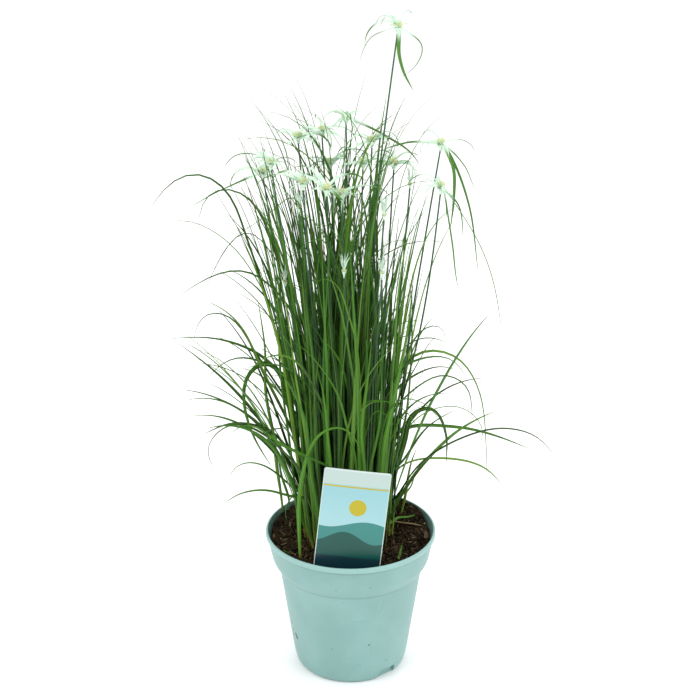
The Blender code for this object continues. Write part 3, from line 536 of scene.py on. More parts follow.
# Twenty-faced lump with its corners pushed in and out at random
def addCrumb(pile, centre, size, rng):
    golden = (1 + 5 ** 0.5) / 2
    corners = []
    for a in (-1, 1):
        for b in (-golden, golden):
            corners += [(0, a, b), (a, b, 0), (b, 0, a)]
    turn = rng.uniform(0, 6.28)
    spin = Matrix.Rotation(turn, 3, Vector((rng.uniform(-1, 1), rng.uniform(-1, 1), 1)).normalized())
    stretch = Vector((rng.uniform(0.7, 1.3), rng.uniform(0.7, 1.3), rng.uniform(0.5, 0.9)))
    tone = rng.random()
    spots = [Vector(corner).normalized() * rng.uniform(0.7, 1.2) for corner in corners]
    first = len(pile.places)
    for spot in spots:
        pile.point(centre + spin @ Vector(a * b for a, b in zip(spot, stretch)) * size, tone=tone)
    for i in range(12):
        for j in range(i + 1, 12):
            for k in range(j + 1, 12):
                pairs = ((i, j), (j, k), (i, k))
                if all((Vector(corners[a]) - Vector(corners[b])).length < 2.1 for a, b in pairs):
                    pile.face((first + i, first + j, first + k))


# A place on the soil, drawn evenly over it and clear of the wall
def spotOnSoil(rng, edge):
    radius, azimuth = edge * math.sqrt(rng.random()), rng.uniform(0.0, 360.0)
    x, y, _ = direction(azimuth) * radius
    return Vector((x, y, soilTop(x, y))) * mm


def makeCrumbs(look):
    rng = random.Random(soilShape["seed"])
    pile = Pile()
    for _ in range(soilShape["crumbs"]):
        size = rng.choice((0.6, 0.8, 1.0, 1.3, 1.7, 2.3)) * rng.uniform(0.8, 1.3) * mm
        spot = spotOnSoil(rng, soilShape["crumbEdge"])
        addCrumb(pile, spot + up * size * rng.uniform(0.0, 0.6), size, rng)
    makePiece("soilCrumbs", pile, [look], sharpAngle=30.0)


# A thin strand along a path; flat ones are wider across than they are thick
def addStrand(pile, path, width, thick, tone, side, sides=5):
    rings = []
    last = len(path) - 1
    for i, place in enumerate(path):
        tangent = (path[min(last, i + 1)] - path[max(0, i - 1)]).normalized()
        across = (side - tangent * side.dot(tangent)).normalized()
        upper = tangent.cross(across)
        taper = 1.0 - 0.6 * abs(2.0 * i / last - 1.0) ** 3
        ring = []
        for k in range(sides):
            angle = 2 * math.pi * k / sides
            offset = across * math.cos(angle) * width / 2 + upper * math.sin(angle) * thick / 2
            ring.append(pile.point(place + offset * taper, i / last, math.cos(angle), 0.0, tone))
        rings.append(ring)
    pile.tube(rings)


def strewStrand(pile, rng, length, width, thick, tone):
    middle = spotOnSoil(rng, soilShape["strandEdge"])
    heading = direction(rng.uniform(0.0, 360.0))
    bow = up.cross(heading) * rng.uniform(-0.25, 0.25) * length
    path = []
    for i in range(7):
        t = i / 3.0 - 1.0
        place = middle + heading * t * length / 2 + bow * (1.0 - t * t) / 2
        level = soilTop(place.x / mm, place.y / mm) * mm
        path.append(Vector((place.x, place.y, level + rng.uniform(0.2, 0.9) * mm)))
    if max(math.hypot(place.x, place.y) for place in path) < 85.5 * mm:
        addStrand(pile, path, width, thick, tone, up.cross(heading))


def makeFibres(look):
    rng = random.Random(soilShape["seed"] + 1)
    pile = Pile()
    for _ in range(soilShape["fibres"]):
        width = rng.uniform(0.25, 0.75) * mm
        strewStrand(pile, rng, rng.uniform(3.5, 12.0) * mm, width, width * 0.7, rng.random())
    for _ in range(soilShape["twigs"]):
        width = rng.uniform(0.8, 1.9) * mm
        strewStrand(pile, rng, rng.uniform(6.0, 19.0) * mm, width, width * 0.6, 0.3 + 0.5 * rng.random())
    makePiece("soilFibres", pile, [look])


# Bark, straw and other larger bits: pixels across and down in the view, width, thickness, tone
litterShape = (
    ([(388, 521), (398, 523), (405, 524), (413, 525), (421, 527)], 3.4, 1.4, 0.78),  # bark strip
    ([(421, 530), (426, 535), (425, 540)], 5.0, 1.6, 0.5),  # bark chip
    ([(424, 525), (427, 524), (431, 524)], 1.7, 1.1, 1.0),  # pale straw
    ([(408, 540), (410, 541), (411, 543)], 1.3, 0.8, 0.95),  # short straw
    ([(312, 525), (313, 529), (314, 536)], 2.6, 1.0, 0.55),  # brown strip
    ([(306, 528), (311, 533), (313, 536)], 1.4, 0.9, 0.75),  # tan straw
    ([(301, 529), (303, 527), (306, 524)], 1.2, 0.6, 1.2),  # curled tip
    ([(303, 552), (308, 548), (314, 543)], 1.0, 0.8, 0.6),  # thin twig
    ([(281, 546), (284, 545), (287, 543)], 1.8, 1.0, 0.7),  # left straw
    ([(271, 535), (272, 537), (274, 539)], 2.2, 1.0, 0.65),  # left chip
    ([(407, 498), (411, 497), (415, 496)], 1.8, 1.4, 0.3),  # heap twig
    ([(410, 496), (413, 495), (416, 494)], 1.6, 1.2, 0.25),  # rim chip
    ([(403, 510), (410, 507), (420, 505)], 1.4, 0.5, 0.62),  # dry blade
    ([(385, 534), (386, 532), (387, 530)], 2.6, 1.4, 0.45),  # shoot sheath
)
paleBits = ((305, 527), (303, 556), (273, 528))


# The place on the soil that a pixel of the view shows, raised by a height in mm
def onSoil(across, down, raised):
    nearest = None
    for step in range(700):
        place = seenPlace((across, down, step * 0.25 - 88.0))
        radius = math.hypot(place.x, place.y)
        if radius > 95.0 * mm:
            continue
        inward = min(1.0, 86.0 * mm / radius)
        x, y = place.x * inward, place.y * inward
        level = soilTop(x / mm, y / mm) * mm
        if nearest is None or place.z - level < nearest[0]:
            nearest = (place.z - level, Vector((x, y, level + raised * mm)))
        if place.z <= level:
            break
    return nearest[1]


def makeLitter(look):
    pile = Pile()
    for spots, width, thick, tone in litterShape:
        path = curveThrough([onSoil(across, down, 0.6 + thick / 2) for across, down in spots], 10)
        for place in path:
            place += noise.noise_vector(place * 300.0) * 0.35 * mm
        addStrand(pile, path, width * mm, thick * mm, tone, up.cross(path[-1] - path[0]).normalized(), 7)
    rng = random.Random(soilShape["seed"] + 2)
    for across, down in paleBits:
        addCrumb(pile, onSoil(across, down, 0.8), 0.8 * mm, rng)
    makePiece("soilLitter", pile, [look])


def soilLook():
    look = Look("dampPottingSoil", 0.9, 0.06)
    place = look.place()
    patch = look.grain(place, 70.0, 5.0, 0.65)
    fine = look.grain(place, 620.0, 4.0, 0.7)
    colour = look.ramp(patch, soilPaint["patches"])
    colour = look.mix(look.step(fine, 0.5, 0.7), colour, soilPaint["grain"])
    # Painted shade in the gaps between the grains, where the fine grain is low
    colour = look.mix(look.step(fine, 0.45, 0.33), colour, soilPaint["gapShade"])
    brighten = look.step(look.value("tone"), 0.78, 1.0)
    colour = look.mix(look.times(brighten, 0.5), colour, soilPaint["crumb"])
    look.feed("Base Color", colour)
    look.feed("Roughness", look.plus(look.times(patch, 0.25), 0.72))
    look.bump(fine, 0.5 * mm, 0.9)
    return look


def fibreLook():
    look = Look("dryFibre", 0.8, 0.3)
    streak = look.grain(look.place((1.0, 1.0, 0.3)), 900.0, 3.0)
    colour = look.ramp(look.value("tone"), soilPaint["fibres"])
    colour = look.mix(look.step(look.value("tone"), 1.08, 1.15), colour, soilPaint["straw"])
    colour = look.mix(look.times(look.step(streak, 0.45, 0.7), 0.5), colour, soilPaint["streak"])
    look.feed("Base Color", colour)
    look.bump(streak, 0.25 * mm, 0.8)
    return look


pottingSoil = soilLook()
dryFibre = fibreLook()
makeSoilBed(pottingSoil)
makeCrumbs(pottingSoil)
makeFibres(dryFibre)
makeLitter(dryFibre)
print("soil made")


# The label, a thin plastic card with a plain landscape of hills under a pale sky
labelShape = {
    "width": 72.0, "length": 125.0, "thickness": 0.8, "corner": 2.5, "bow": 0.9,
    "foot": (-5.8, -73.5, 143.0), "roll": 6.4, "lean": 5.5, "columns": 14, "rows": 24, "cornerRows": 6,
}
labelPaint = {
    "sky": paint(136, 184, 190), "skyLow": paint(154, 194, 198), "strip": paint(172, 190, 186),
    "farHill": paint(50, 124, 118), "nearHill": paint(0, 74, 64), "footBand": paint(10, 44, 54),
    "sun": paint(172, 160, 20), "edge": paint(196, 208, 206), "back": paint(196, 202, 200),
    "dust": paint(120, 112, 96),
    # Places are shares of the card: across from -1 to 1, and up from 0 to 1
    "sunAt": (0.12, 0.66), "sunRadius": (9.6, 9.0), "lineAt": 0.845,
    # Each hill's line: its height, swing, waves and where they start
    "hills": ((0.5, 0.035, 2.6, 0.4, "farHill"), (0.38, 0.05, 3.4, 2.2, "nearHill")),
}


def labelPlacement():
    roll = Matrix.Rotation(math.radians(labelShape["roll"]), 4, "Y")
    lean = Matrix.Rotation(math.radians(-labelShape["lean"]), 4, "X")
    return Matrix.Translation(Vector(labelShape["foot"]) * mm) @ lean @ roll


def makeLabel():
    shape = labelShape
    half, corner = shape["width"] / 2, shape["corner"]
    columns, steps, cornerSteps = shape["columns"], shape["rows"], shape["cornerRows"]
    heights = [corner * (1 - math.cos(math.pi / 2 * i / cornerSteps)) for i in range(cornerSteps)]
    heights += [corner + (shape["length"] - 2 * corner) * i / steps for i in range(steps + 1)]
    heights += [shape["length"] - height for height in reversed(heights[:cornerSteps])]
    matrix = labelPlacement()
    pile = Pile()
    sheets = []
    for side in (-1, 1):
        rows = []
        for height in heights:
            near = min(height, shape["length"] - height)
            inset = corner - math.sqrt(max(0.0, corner ** 2 - (corner - near) ** 2)) if near < corner else 0.0
            row = []
            for i in range(columns + 1):
                share = 2.0 * i / columns - 1.0
                x = share * (half - inset)
                y = side * shape["thickness"] / 2 - shape["bow"] * (1.0 - (x / half) ** 2)
                place = matrix @ (Vector((x, y, height)) * mm)
                row.append(pile.point(place, height / shape["length"], x / half))
            rows.append(row)
        for lower, upper in zip(rows, rows[1:]):
            for i in range(columns):
                pile.face((lower[i], lower[i + 1], upper[i + 1], upper[i]), 0 if side < 0 else 1)
        right, left = [row[-1] for row in rows[1:-1]], [row[0] for row in rows[-2:0:-1]]
        sheets.append(rows[0] + right + rows[-1][::-1] + left)
    front, back = sheets
    for i in range(len(front)):
        after = (i + 1) % len(front)
        pile.face((front[i], front[after], back[after], back[i]), 1)
    materials = [labelFrontLook(), labelBackLook()]
    makePiece("labelCard", pile, materials, ["plant_label"], sharpAngle=30.0)


def labelFrontLook():
    look = Look("printedCard", 0.32, 0.5)
    x, z = look.value("across"), look.value("along")
    colour = look.mix(look.step(z, 0.35, 0.9), labelPaint["skyLow"], labelPaint["sky"])
    # A round sun, as far across as it is high: the card is longer than it is wide
    sunAcross, sunUp = labelPaint["sunAt"]
    far = look.times(look.minus(z, sunUp), labelShape["length"])
    wide = look.times(look.minus(x, sunAcross), labelShape["width"] / 2)
    away = look.maths("SQRT", look.plus(look.maths("POWER", far, 2.0), look.maths("POWER", wide, 2.0)))
    colour = look.mix(look.step(away, *labelPaint["sunRadius"]), colour, labelPaint["sun"])
    for level, swing, waves, start, hill in labelPaint["hills"]:
        swell = look.times(look.maths("SINE", look.plus(look.times(x, waves), start)), swing)
        top = look.minus(z, look.plus(swell, level))
        colour = look.mix(look.step(top, 0.003, -0.003), colour, labelPaint[hill])
    colour = look.mix(look.step(z, 0.203, 0.197), colour, labelPaint["footBand"])
    colour = look.mix(look.step(z, 0.857, 0.863), colour, labelPaint["strip"])
    fromLine = look.maths("ABSOLUTE", look.minus(z, labelPaint["lineAt"]))
    colour = look.mix(look.step(fromLine, 0.008, 0.006), colour, labelPaint["sun"])
    rim = look.step(look.maths("ABSOLUTE", x), 0.972, 0.984)
    rim = look.maths("MAXIMUM", rim, look.step(z, 0.984, 0.992))
    colour = look.mix(rim, colour, labelPaint["edge"])
    place = look.place()
    dust = look.step(look.grain(place, 700.0, 2.0), 0.72, 0.8)
    colour = look.mix(look.times(dust, 0.35), colour, labelPaint["dust"])
    look.feed("Base Color", colour)
    look.feed("Roughness", look.plus(look.times(look.grain(place, 60.0), 0.14), 0.26))
    look.bump(look.grain(place, 1500.0, 2.0), 0.03 * mm, 0.4)
    return look


def labelBackLook():
    look = Look("plainCard", 0.4, 0.5)
    cloud = look.grain(look.place(), 40.0, 3.0)
    look.feed("Base Color", look.mix(look.step(cloud, 0.3, 0.7), labelPaint["back"], labelPaint["edge"]))
    look.bump(look.grain(look.place(), 1500.0, 2.0), 0.03 * mm, 0.4)
    return look


makeLabel()
print("label made")


# Where the clump's feet stand and how far its parts keep from each other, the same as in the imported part
fitGap = 0.3 * mm
potHeight = 165.0 * mm
rimRadius = 94.8 * mm
soilFlatRadius = 57.0 * mm
soilLevel = 149.0 * mm
heapRise = 12.5 * mm
clumpCentre = Vector((-4.0, 27.0, 0.0)) * mm
clumpRadius = 52.0 * mm
footCount = 51
footTurn = 137.5
crownHeight = 5.0 * mm
crownRadius = 3.6 * mm
crownSpread = 3.0 * mm
crownZone = 14.0 * mm
pathSteps = 24
shootSlots = 5
stemSlots = 3
stemRings = 5
stemRadius = 1.15 * mm
bractCount = 6
bractWidth = 4.6 * mm
spikeRadius = 4.8 * mm
leastRadius = 1.0 * mm
siblingClearance = 0.25 * mm
clearance = 0.6 * mm
cell = 8.0 * mm
setback = 18.0 * mm
clumpSeed = 13

# Flower heads: the spot where each stands, spots that its stem passes, and its long bracts with their style
flowerHeads = (
    ((398, 28, 0), [(377, 196, 0), (389, 97, 0)],
     [("thread", [(371, 37, 0), (358, 65, 0)]), ("thread", [(423, 47, 0), (414, 68, 0), (400, 78, 0)]),
      ("green", [(399, 52, -6), (403, 70, -8), (414, 92, -10)])]),
    ((346, 119, 50), [],
     [("half", [(380, 133, 50), (416, 159, 50), (421, 168, 50)]), ("white", [(336, 131, 45)])]),
    ((322, 132, 60), [], []),
    ((372, 142, 30), [], [("white", [(383, 135, 25)])]),
    ((363, 164, 30), [], []),
    ((441, 145, 20), [(432, 198, 20)],
     [("green", [(452, 162, 15), (454, 199, 10), (450, 231, 5)]),
      ("green", [(458, 172, 20), (467, 199, 10), (479, 279, 0)]),
      ("half", [(412, 142, 20), (381, 150, 20)]), ("slim", [(460, 160, 28), (477, 194, 30)])]),
    ((441, 188, -20), [(423, 318, -20), (432, 264, -20)],
     [("green", [(450, 231, -26), (456, 276, -32), (459, 293, -35)]),
      ("slim", [(462, 214, -20), (490, 269, -20), (504, 344, -20)]),
      ("slim", [(460, 208, -10), (463, 239, -8)])]),
    ((410, 185, 40), [], []),
    ((384, 216, -30), [], [("white", [(372, 203, -36)]), ("white", [(394, 205, -38)])]),
    ((327, 190, -50), [], [("green", [(344, 201, -60)])]),
    ((303, 184, -40), [], []),
    ((298, 138, 40), [], []),
    ((271, 164, 0), [], [("white", [(253, 171, -2)])]),
    ((263, 174, 40), [], [("slim", [(232, 185, 40), (185, 210, 38)])]),
    ((342, 195, -20), [], []),
    ((334, 210, 20), [], []),
    ((299, 209, -32), [], []),
    ((330, 164, 78), [], []),
    ((285, 283, -20), [], []),
    ((344, 272, -52), [], []),
    ((382, 274, -52), [], []),
    ((394, 165, 66), [], []),
)

# Long leaves that stand out of the clump: width in mm, then spots on the midline, the tip last
longLeaves = (
    (3.4, [(248, 245, -15), (217, 180, -25), (193, 170, -30), (169, 182, -35), (148, 212, -35)]),
    (3.2, [(248, 245, 20), (228, 212, 25), (205, 173, 30)]),
    (3.0, [(290, 200, 40), (285, 142, 50), (264, 114, 60), (249, 101, 65)]),
    (3.2, [(280, 260, -20), (262, 199, -30), (237, 133, -45)]),
    (3.0, [(285, 260, -40), (273, 200, -50), (260, 136, -60)]),
    (3.2, [(268, 230, 0), (252, 198, 0), (229, 186, 0), (204, 193, 0), (198, 228, 0)]),
    (3.4, [(265, 295, 15), (229, 242, 25), (186, 219, 35), (157, 223, 35)]),
    (3.0, [(262, 240, -10), (247, 225, -15), (229, 244, -25), (209, 281, -30), (200, 301, -35)]),
    (3.4, [(275, 290, -45), (248, 269, -55), (216, 273, -70), (176, 298, -80)]),
    (3.0, [(261, 305, 50), (228, 276, 60), (204, 263, 70)]),
    (3.4, [(261, 369, -30), (234, 318, -40), (219, 306, -45), (201, 299, -45)]),
    (4.4, [(285, 340, -60), (268, 314, -70), (231, 288, -90)]),
    (3.0, [(250, 345, 25), (234, 319, 30), (215, 311, 35), (200, 318, 40), (193, 347, 45)]),
    (3.4, [(262, 356, -5), (236, 343, -10), (211, 337, -15), (165, 339, -20)]),
    (3.4, [(288, 379, -25), (268, 365, -35), (229, 359, -55), (206, 379, -60)]),
    (3.0, [(268, 406, 10), (247, 377, 15), (229, 361, 20)]),
    (5.0, [(262, 362, -30), (248, 372, -40), (244, 406, -65), (256, 442, -80), (274, 470, -90)]),
    (4.2, [(298, 469, -10), (271, 432, -20), (229, 424, -25), (202, 435, -30)]),
    (3.4, [(260, 432, 20), (240, 424, 25), (226, 427, 30), (207, 451, 35), (216, 472, 40)]),
    (3.0, [(275, 440, -55), (250, 424, -60), (235, 428, -70), (225, 440, -75)]),
    (3.0, [(285, 448, -60), (258, 437, -75), (246, 440, -80)]),
    (3.4, [(295, 491, 5), (261, 465, 10), (246, 463, 15), (233, 469, 15), (228, 482, 15)]),
    (3.4, [(289, 497, -15), (262, 490, -20), (239, 494, -20), (221, 506, -20)]),
    (3.8, [(425, 350, 15), (452, 354, 20), (478, 387, 30), (486, 445, 30), (487, 482, 30)]),
    (3.2, [(405, 365, -30), (439, 355, -45), (452, 357, -50), (468, 381, -55)]),
    (3.0, [(400, 385, 35), (442, 366, 55), (460, 371, 60)]),
    (3.4, [(412, 390, 0), (443, 374, 0), (467, 386, 0), (472, 419, 0)]),
    (4.8, [(405, 440, -45), (414, 413, -60), (433, 407, -70), (446, 432, -80), (446, 465, -80)]),
    (3.4, [(400, 440, -15), (429, 410, -20), (461, 406, -25), (484, 432, -30), (478, 449, -30)]),
    (3.2, [(400, 465, -30), (432, 423, -50), (458, 408, -60)]),
    (3.8, [(400, 430, 20), (452, 427, 35), (503, 438, 50), (532, 450, 55)]),
    (4.0, [(388, 506, -10), (421, 464, -15), (458, 440, -20), (506, 428, -30), (538, 437, -30),
           (557, 459, -30)]),
    (3.6, [(401, 466, 15), (447, 458, 25), (485, 468, 30), (504, 486, 30)]),
    (3.6, [(405, 362, -40), (422, 329, -50), (440, 322, -55), (449, 335, -60), (444, 348, -65)]),
    (3.8, [(375, 400, -60), (401, 406, -75), (425, 440, -90)]),
    (3.0, [(421, 357, 40), (432, 339, 45), (443, 329, 50)]),
    (4.4, [(375, 185, -10), (381, 128, -10), (387, 92, -10)]),
)


# A curve that rises from the foot and then runs through the places
def risingPath(foot, places, lift):
    start = foot + (places[0] - foot) * lift
    start.z = foot.z + (places[0].z - foot.z) * 0.45
    return curveThrough([foot, start] + places, pathSteps)


# Shifts in depth to try, from the clump's own setback outward
def depthShifts(step, count):
    for i in range(count):
        yield setback + (1 if i % 2 else -1) * ((i + 1) // 2) * step


# A blade that leaves its foot at one lean, in radians, and turns over by bend towards its tip
def bentPath(foot, heading, length, lean, bend, power, sway):
    side = up.cross(heading)
    places = [foot.copy()]
    for step in range(pathSteps):
        share = (step + 0.5) / pathSteps
        angle = lean + bend * share ** power
        way = heading * math.sin(angle) + up * math.cos(angle) + side * sway * share
        places.append(places[-1] + way.normalized() * length / pathSteps)
    return places


# A bract that leaves its head at a rise, in radians, and droops towards its tip
def bractPath(start, heading, length, rise, droop):
    steps = pathSteps // 2
    places = [start.copy()]
    for step in range(steps):
        share = (step + 0.5) / steps
        angle = rise - droop * share ** 1.3
        places.append(places[-1] + (heading * math.cos(angle) + up * math.sin(angle)) * length / steps)
    return places


# Row numbers of a path's rings: one close above its foot, then more closely where it bends
def pickRows(path, count):
    bendWeight = 120.0 * mm
    reach = [0.0]
    for i in range(1, len(path)):
        step = path[i] - path[i - 1]
        turn = step.angle(path[i - 1] - path[i - 2]) if i > 1 else 0.0
        reach.append(reach[-1] + step.length + bendWeight * turn)
    rows = [0, 1]
    for j in range(1, count):
        aim = reach[-1] * j / count
        row = min(range(len(path)), key=lambda i: abs(reach[i] - aim))
        rows.append(max(row, rows[-1] + 1))
    rows.append(len(path) - 1)
    return rows


# A blade's width along it: narrow at the foot, full by a third, then down to the tip
def bladeShare(share):
    return min(1.0, 0.5 + 1.6 * share) * (1.0 - 0.9 * share ** 2.4)


def evenShare(share):
    return 1.0


# Places along the straight runs between rows, each with the radius there
def placesAlong(path, rows, radius, taper=evenShare, spacing=3.0 * mm):
    places = []
    for first, last in zip(rows, rows[1:]):
        span = path[last] - path[first]
        parts = max(1, math.ceil(span.length / spacing))
        for i in range(parts):
            share = (first + (last - first) * i / parts) / (len(path) - 1)
            places.append((path[first] + span * (i / parts), max(leastRadius, radius * taper(share))))
    places.append((path[rows[-1]].copy(), leastRadius))
    return places


# What is already taken, as places with a radius and an owner, kept in cells
class Space:
    def __init__(self):
        self.cells = {}

    def add(self, owner, places):
        for place, radius in places:
            key = tuple(math.floor(value / cell) for value in place)
            self.cells.setdefault(key, []).append((place, radius, owner))

    def near(self, place):
        base = [math.floor(value / cell) for value in place]
        for dx in (-1, 0, 1):
            for dy in (-1, 0, 1):
                for dz in (-1, 0, 1):
                    yield from self.cells.get((base[0] + dx, base[1] + dy, base[2] + dz), ())

    # Whether places keep clear of the rest, except for the owner's own within a zone
    def isFree(self, owner, places, middle, zone):
        for place, radius in places:
            joined = (place - middle).length < zone
            for other, size, name in self.near(place):
                if name == owner and joined:
                    continue
                gap = siblingClearance if name == owner else clearance
                if (other - place).length < radius + size + gap:
                    return False
        return True


# Whether a path keeps above the soil and the rim, and out of the label's front
def staysOutside(places):
    for place, _ in places:
        radius = math.hypot(place.x, place.y)
        spread = math.hypot(place.x - clumpCentre.x, place.y - clumpCentre.y)
        if spread > soilFlatRadius - 2 * mm and place.z < soilLevel + heapRise + 8 * mm:
            return False
        if radius > rimRadius - 10 * mm and place.z < potHeight + 8 * mm and radius < rimRadius + 8 * mm:
            return False
        if place.y < -56 * mm and abs(place.x) < 50 * mm and place.z < 330 * mm:
            return False
    return True


def clumpFeet():
    feet = []
    for i in range(footCount):
        radius = clumpRadius * math.sqrt((i + 0.5) / footCount)
        feet.append(clumpCentre + direction(i * footTurn) * radius + up * (soilLevel + fitGap))
    return feet


def takeNearest(feet, free, x, y):
    return min(free, key=lambda i: math.hypot(feet[i].x - x, feet[i].y - y))


def sideAzimuth(head, side):
    return head["phase"] + 360.0 * side / bractCount


def bractStart(head, side):
    return head["top"] + direction(sideAzimuth(head, side)) * 2.6 * mm + up * 1.0 * mm


def bractShare(share):
    return 1.0 - 0.75 * share


# Row numbers of a bract's rings: a longer bract has more
def bractRows(path):
    length = (path[-1] - path[0]).length
    steps = len(path) - 1
    if length < 32 * mm:
        return [0, steps // 2, steps]
    if length < 60 * mm:
        return [0, steps // 3, 2 * steps // 3, steps]
    return [0, steps // 4, steps // 2, 3 * steps // 4, steps]


# The seen bracts of a head, each from the nearest side that is still open
def longBracts(head, longOnes, shift):
    sides = {}
    for style, spots in longOnes:
        places = [seenPlace(spot, shift) for spot in spots]
        aim = places[0] - head["top"]
        azimuth = math.degrees(math.atan2(aim.y, aim.x))
        openSides = [side for side in range(bractCount) if side not in sides]
        side = min(openSides, key=lambda n: abs((sideAzimuth(head, n) - azimuth + 180.0) % 360.0 - 180.0))
        sides[side] = (curveThrough([bractStart(head, side)] + places, pathSteps // 2), style)
    return sides


# A bract drawn at random that keeps clear; it is drawn shorter with each try
def shortBract(head, side, owner, rng, space):
    for attempt in range(60):
        length = rng.choice((14.0, 17.0, 22.0, 28.0, 40.0)) * rng.uniform(0.85, 1.2) * (1.0 - 0.012 * attempt)
        heading = direction(sideAzimuth(head, side) + rng.uniform(-14.0, 14.0))
        rise = math.radians(rng.uniform(5.0, 45.0))
        droop = math.radians(rng.uniform(20.0, 70.0))
        path = bractPath(bractStart(head, side), heading, length * mm, rise, droop)
        places = placesAlong(path, bractRows(path), bractWidth * 0.5, bractShare)
        if space.isFree(owner, places, head["top"], 8.0 * mm):
            break
    space.add(owner, places)
    rng.uniform(0.8, 1.05)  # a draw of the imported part, taken here too so that the later draws are the same
    return path, "short"


# A flower stem's path and its bracts, set back or forward until it keeps clear
def planStem(plant, spot, passes, longOnes, rng, space):
    foot = plant["foot"]
    phase = rng.uniform(0.0, 60.0)
    if longOnes:
        phase = azimuthBetween(seenPlace(spot), seenPlace(longOnes[0][1][0]))
    for shift in depthShifts(5.0 * mm, 21):
        head = {"top": seenPlace(spot, shift), "phase": phase}
        start = slotStart(plant, 0)
        path = risingPath(start, [seenPlace(p, shift) for p in passes] + [head["top"] - up * 2.0 * mm], 0.25)
        sides = longBracts(head, longOnes, shift)
        taken = placesAlong(path, pickRows(path, stemRings), stemRadius)
        taken.append((head["top"] + up * 4.0 * mm, spikeRadius + 1.5 * mm))
        for curve, _ in sides.values():
            taken += placesAlong(curve, bractRows(curve), bractWidth * 0.5, bractShare)
        if space.isFree(plant["name"], taken, foot, crownZone):
            break
    space.add(plant["name"], taken)
    for side in range(bractCount):
        if side not in sides:
            sides[side] = shortBract(head, side, plant["name"], rng, space)
    plant["head"] = head
    plant["bracts"] = [sides[side] for side in range(bractCount)]
    plant["slots"][0] = {"kind": "stem", "path": path}


# A seen leaf from the nearest open slot, moved along the line of sight until it keeps clear
def planLongLeaf(plant, width, spots, space):
    openSlots = [i for i, slot in enumerate(plant["slots"]) if slot is None]
    for shift in depthShifts(5.0 * mm, 25):
        moved = [seenPlace(spot, shift) for spot in spots]
        azimuth = azimuthBetween(plant["foot"], moved[0])
        slot = min(openSlots, key=lambda i: abs((slotAzimuth(plant, i) - azimuth + 180.0) % 360.0 - 180.0))
        path = risingPath(slotStart(plant, slot), moved, 0.22)
        samples = placesAlong(path, pickRows(path, 5), width * 0.5 * mm, bladeShare)
        if space.isFree(plant["name"], samples, plant["foot"], crownZone):
            space.add(plant["name"], samples)
            plant["slots"][slot] = {"kind": "leaf", "path": path, "width": width * mm}
            return True
    return False


# A leaf drawn at random, that fans out from the clump and keeps clear of the others
def planLeaf(plant, slot, rng, space):
    offset = plant["foot"] - clumpCentre
    offset.z = 0.0
    facing = direction(slotAzimuth(plant, slot))
    for attempt in range(300):
        outward = facing + offset / clumpRadius * rng.uniform(0.3, 1.4)
        azimuth = math.degrees(math.atan2(outward.y, outward.x)) + rng.uniform(-25.0, 25.0)
        inward = offset.dot(direction(azimuth)) < -0.3 * clumpRadius
        length = rng.triangular(230.0, 480.0, 410.0) * (1.0 - 0.0015 * attempt) * mm
        lean = math.radians(rng.uniform(0.0, 3.0) + 5.0 * rng.random() * offset.length / clumpRadius)
        arching = rng.random() < 0.3 and not inward
        bend = math.radians(rng.uniform(55.0, 120.0) if arching else rng.uniform(4.0, 30.0))
        length *= 0.8 if arching else 1.0
        power = rng.uniform(2.0, 4.5)
        sway = rng.uniform(-0.12, 0.12)
        width = rng.uniform(2.2, 4.4) * mm
        path = bentPath(slotStart(plant, slot), direction(azimuth), length, lean, bend, power, sway)
        samples = placesAlong(path, pickRows(path, 4 if arching else 3), width * 0.5, bladeShare)
        tip = path[-1]
        if not (-150 * mm < tip.x < 128 * mm and abs(tip.y - clumpCentre.y) < 150 * mm):
            continue
        if staysOutside(samples) and space.isFree(plant["name"], samples, plant["foot"], crownZone):
            space.add(plant["name"], samples)
            plant["slots"][slot] = {"kind": "leaf", "path": path, "width": width}
            return


def slotAzimuth(plant, slot):
    return plant["lead"] + 360.0 * slot / len(plant["slots"])


def slotStart(plant, slot):
    return plant["foot"] + direction(slotAzimuth(plant, slot)) * crownSpread


def azimuthBetween(first, last):
    return math.degrees(math.atan2(last[1] - first[1], last[0] - first[0]))


# Every stem and shoot with its foot and what grows from each slot of its crown
def planClump():
    rng = random.Random(clumpSeed)
    space = Space()
    label = labelPlacement()
    across = [labelShape["width"] * mm * (i / 16 - 0.5) for i in range(17)]
    upward = [labelShape["length"] * mm * i / 28 for i in range(29)]
    space.add("plant_label", [(label @ Vector((x, 0.0, z)), 2.5 * mm) for x in across for z in upward])
    feet = clumpFeet()
    free = set(range(footCount))
    stems = []
    for number, (spot, _, _) in enumerate(flowerHeads, 1):
        stand = seenPlace(spot)
        foot = takeNearest(feet, free, stand.x * 0.5, stand.y * 0.5)
        free.remove(foot)
        lead = azimuthBetween(feet[foot], stand)
        stems.append({"name": f"flower_stem_{number:02d}", "foot": feet[foot], "lead": lead,
                      "slots": [None] * stemSlots})
    shoots = []
    for number, foot in enumerate(sorted(free), 1):
        lead = azimuthBetween(clumpCentre, feet[foot])
        shoots.append({"name": f"leaf_shoot_{number:02d}", "foot": feet[foot], "lead": lead,
                       "slots": [None] * shootSlots})
    for plant in stems + shoots:
        space.add(plant["name"], [(plant["foot"] + up * crownHeight / 2, crownRadius)])
    for plant, (spot, passes, longOnes) in zip(stems, flowerHeads):
        planStem(plant, spot, passes, longOnes, rng, space)
    for width, spots in longLeaves:
        root = seenPlace(spots[0])
        waiting = [shoot for shoot in shoots if sum(slot is not None for slot in shoot["slots"]) < 2]
        waiting.sort(key=lambda shoot: math.hypot(shoot["foot"].x - root.x * 0.5,
                                                  shoot["foot"].y - root.y * 0.5))
        for shoot in waiting[:8]:
            if planLongLeaf(shoot, width, spots, space):
                break
    for plant in shoots + stems:
        for slot, grown in enumerate(plant["slots"]):
            if grown is None:
                planLeaf(plant, slot, rng, space)
    return stems + shoots


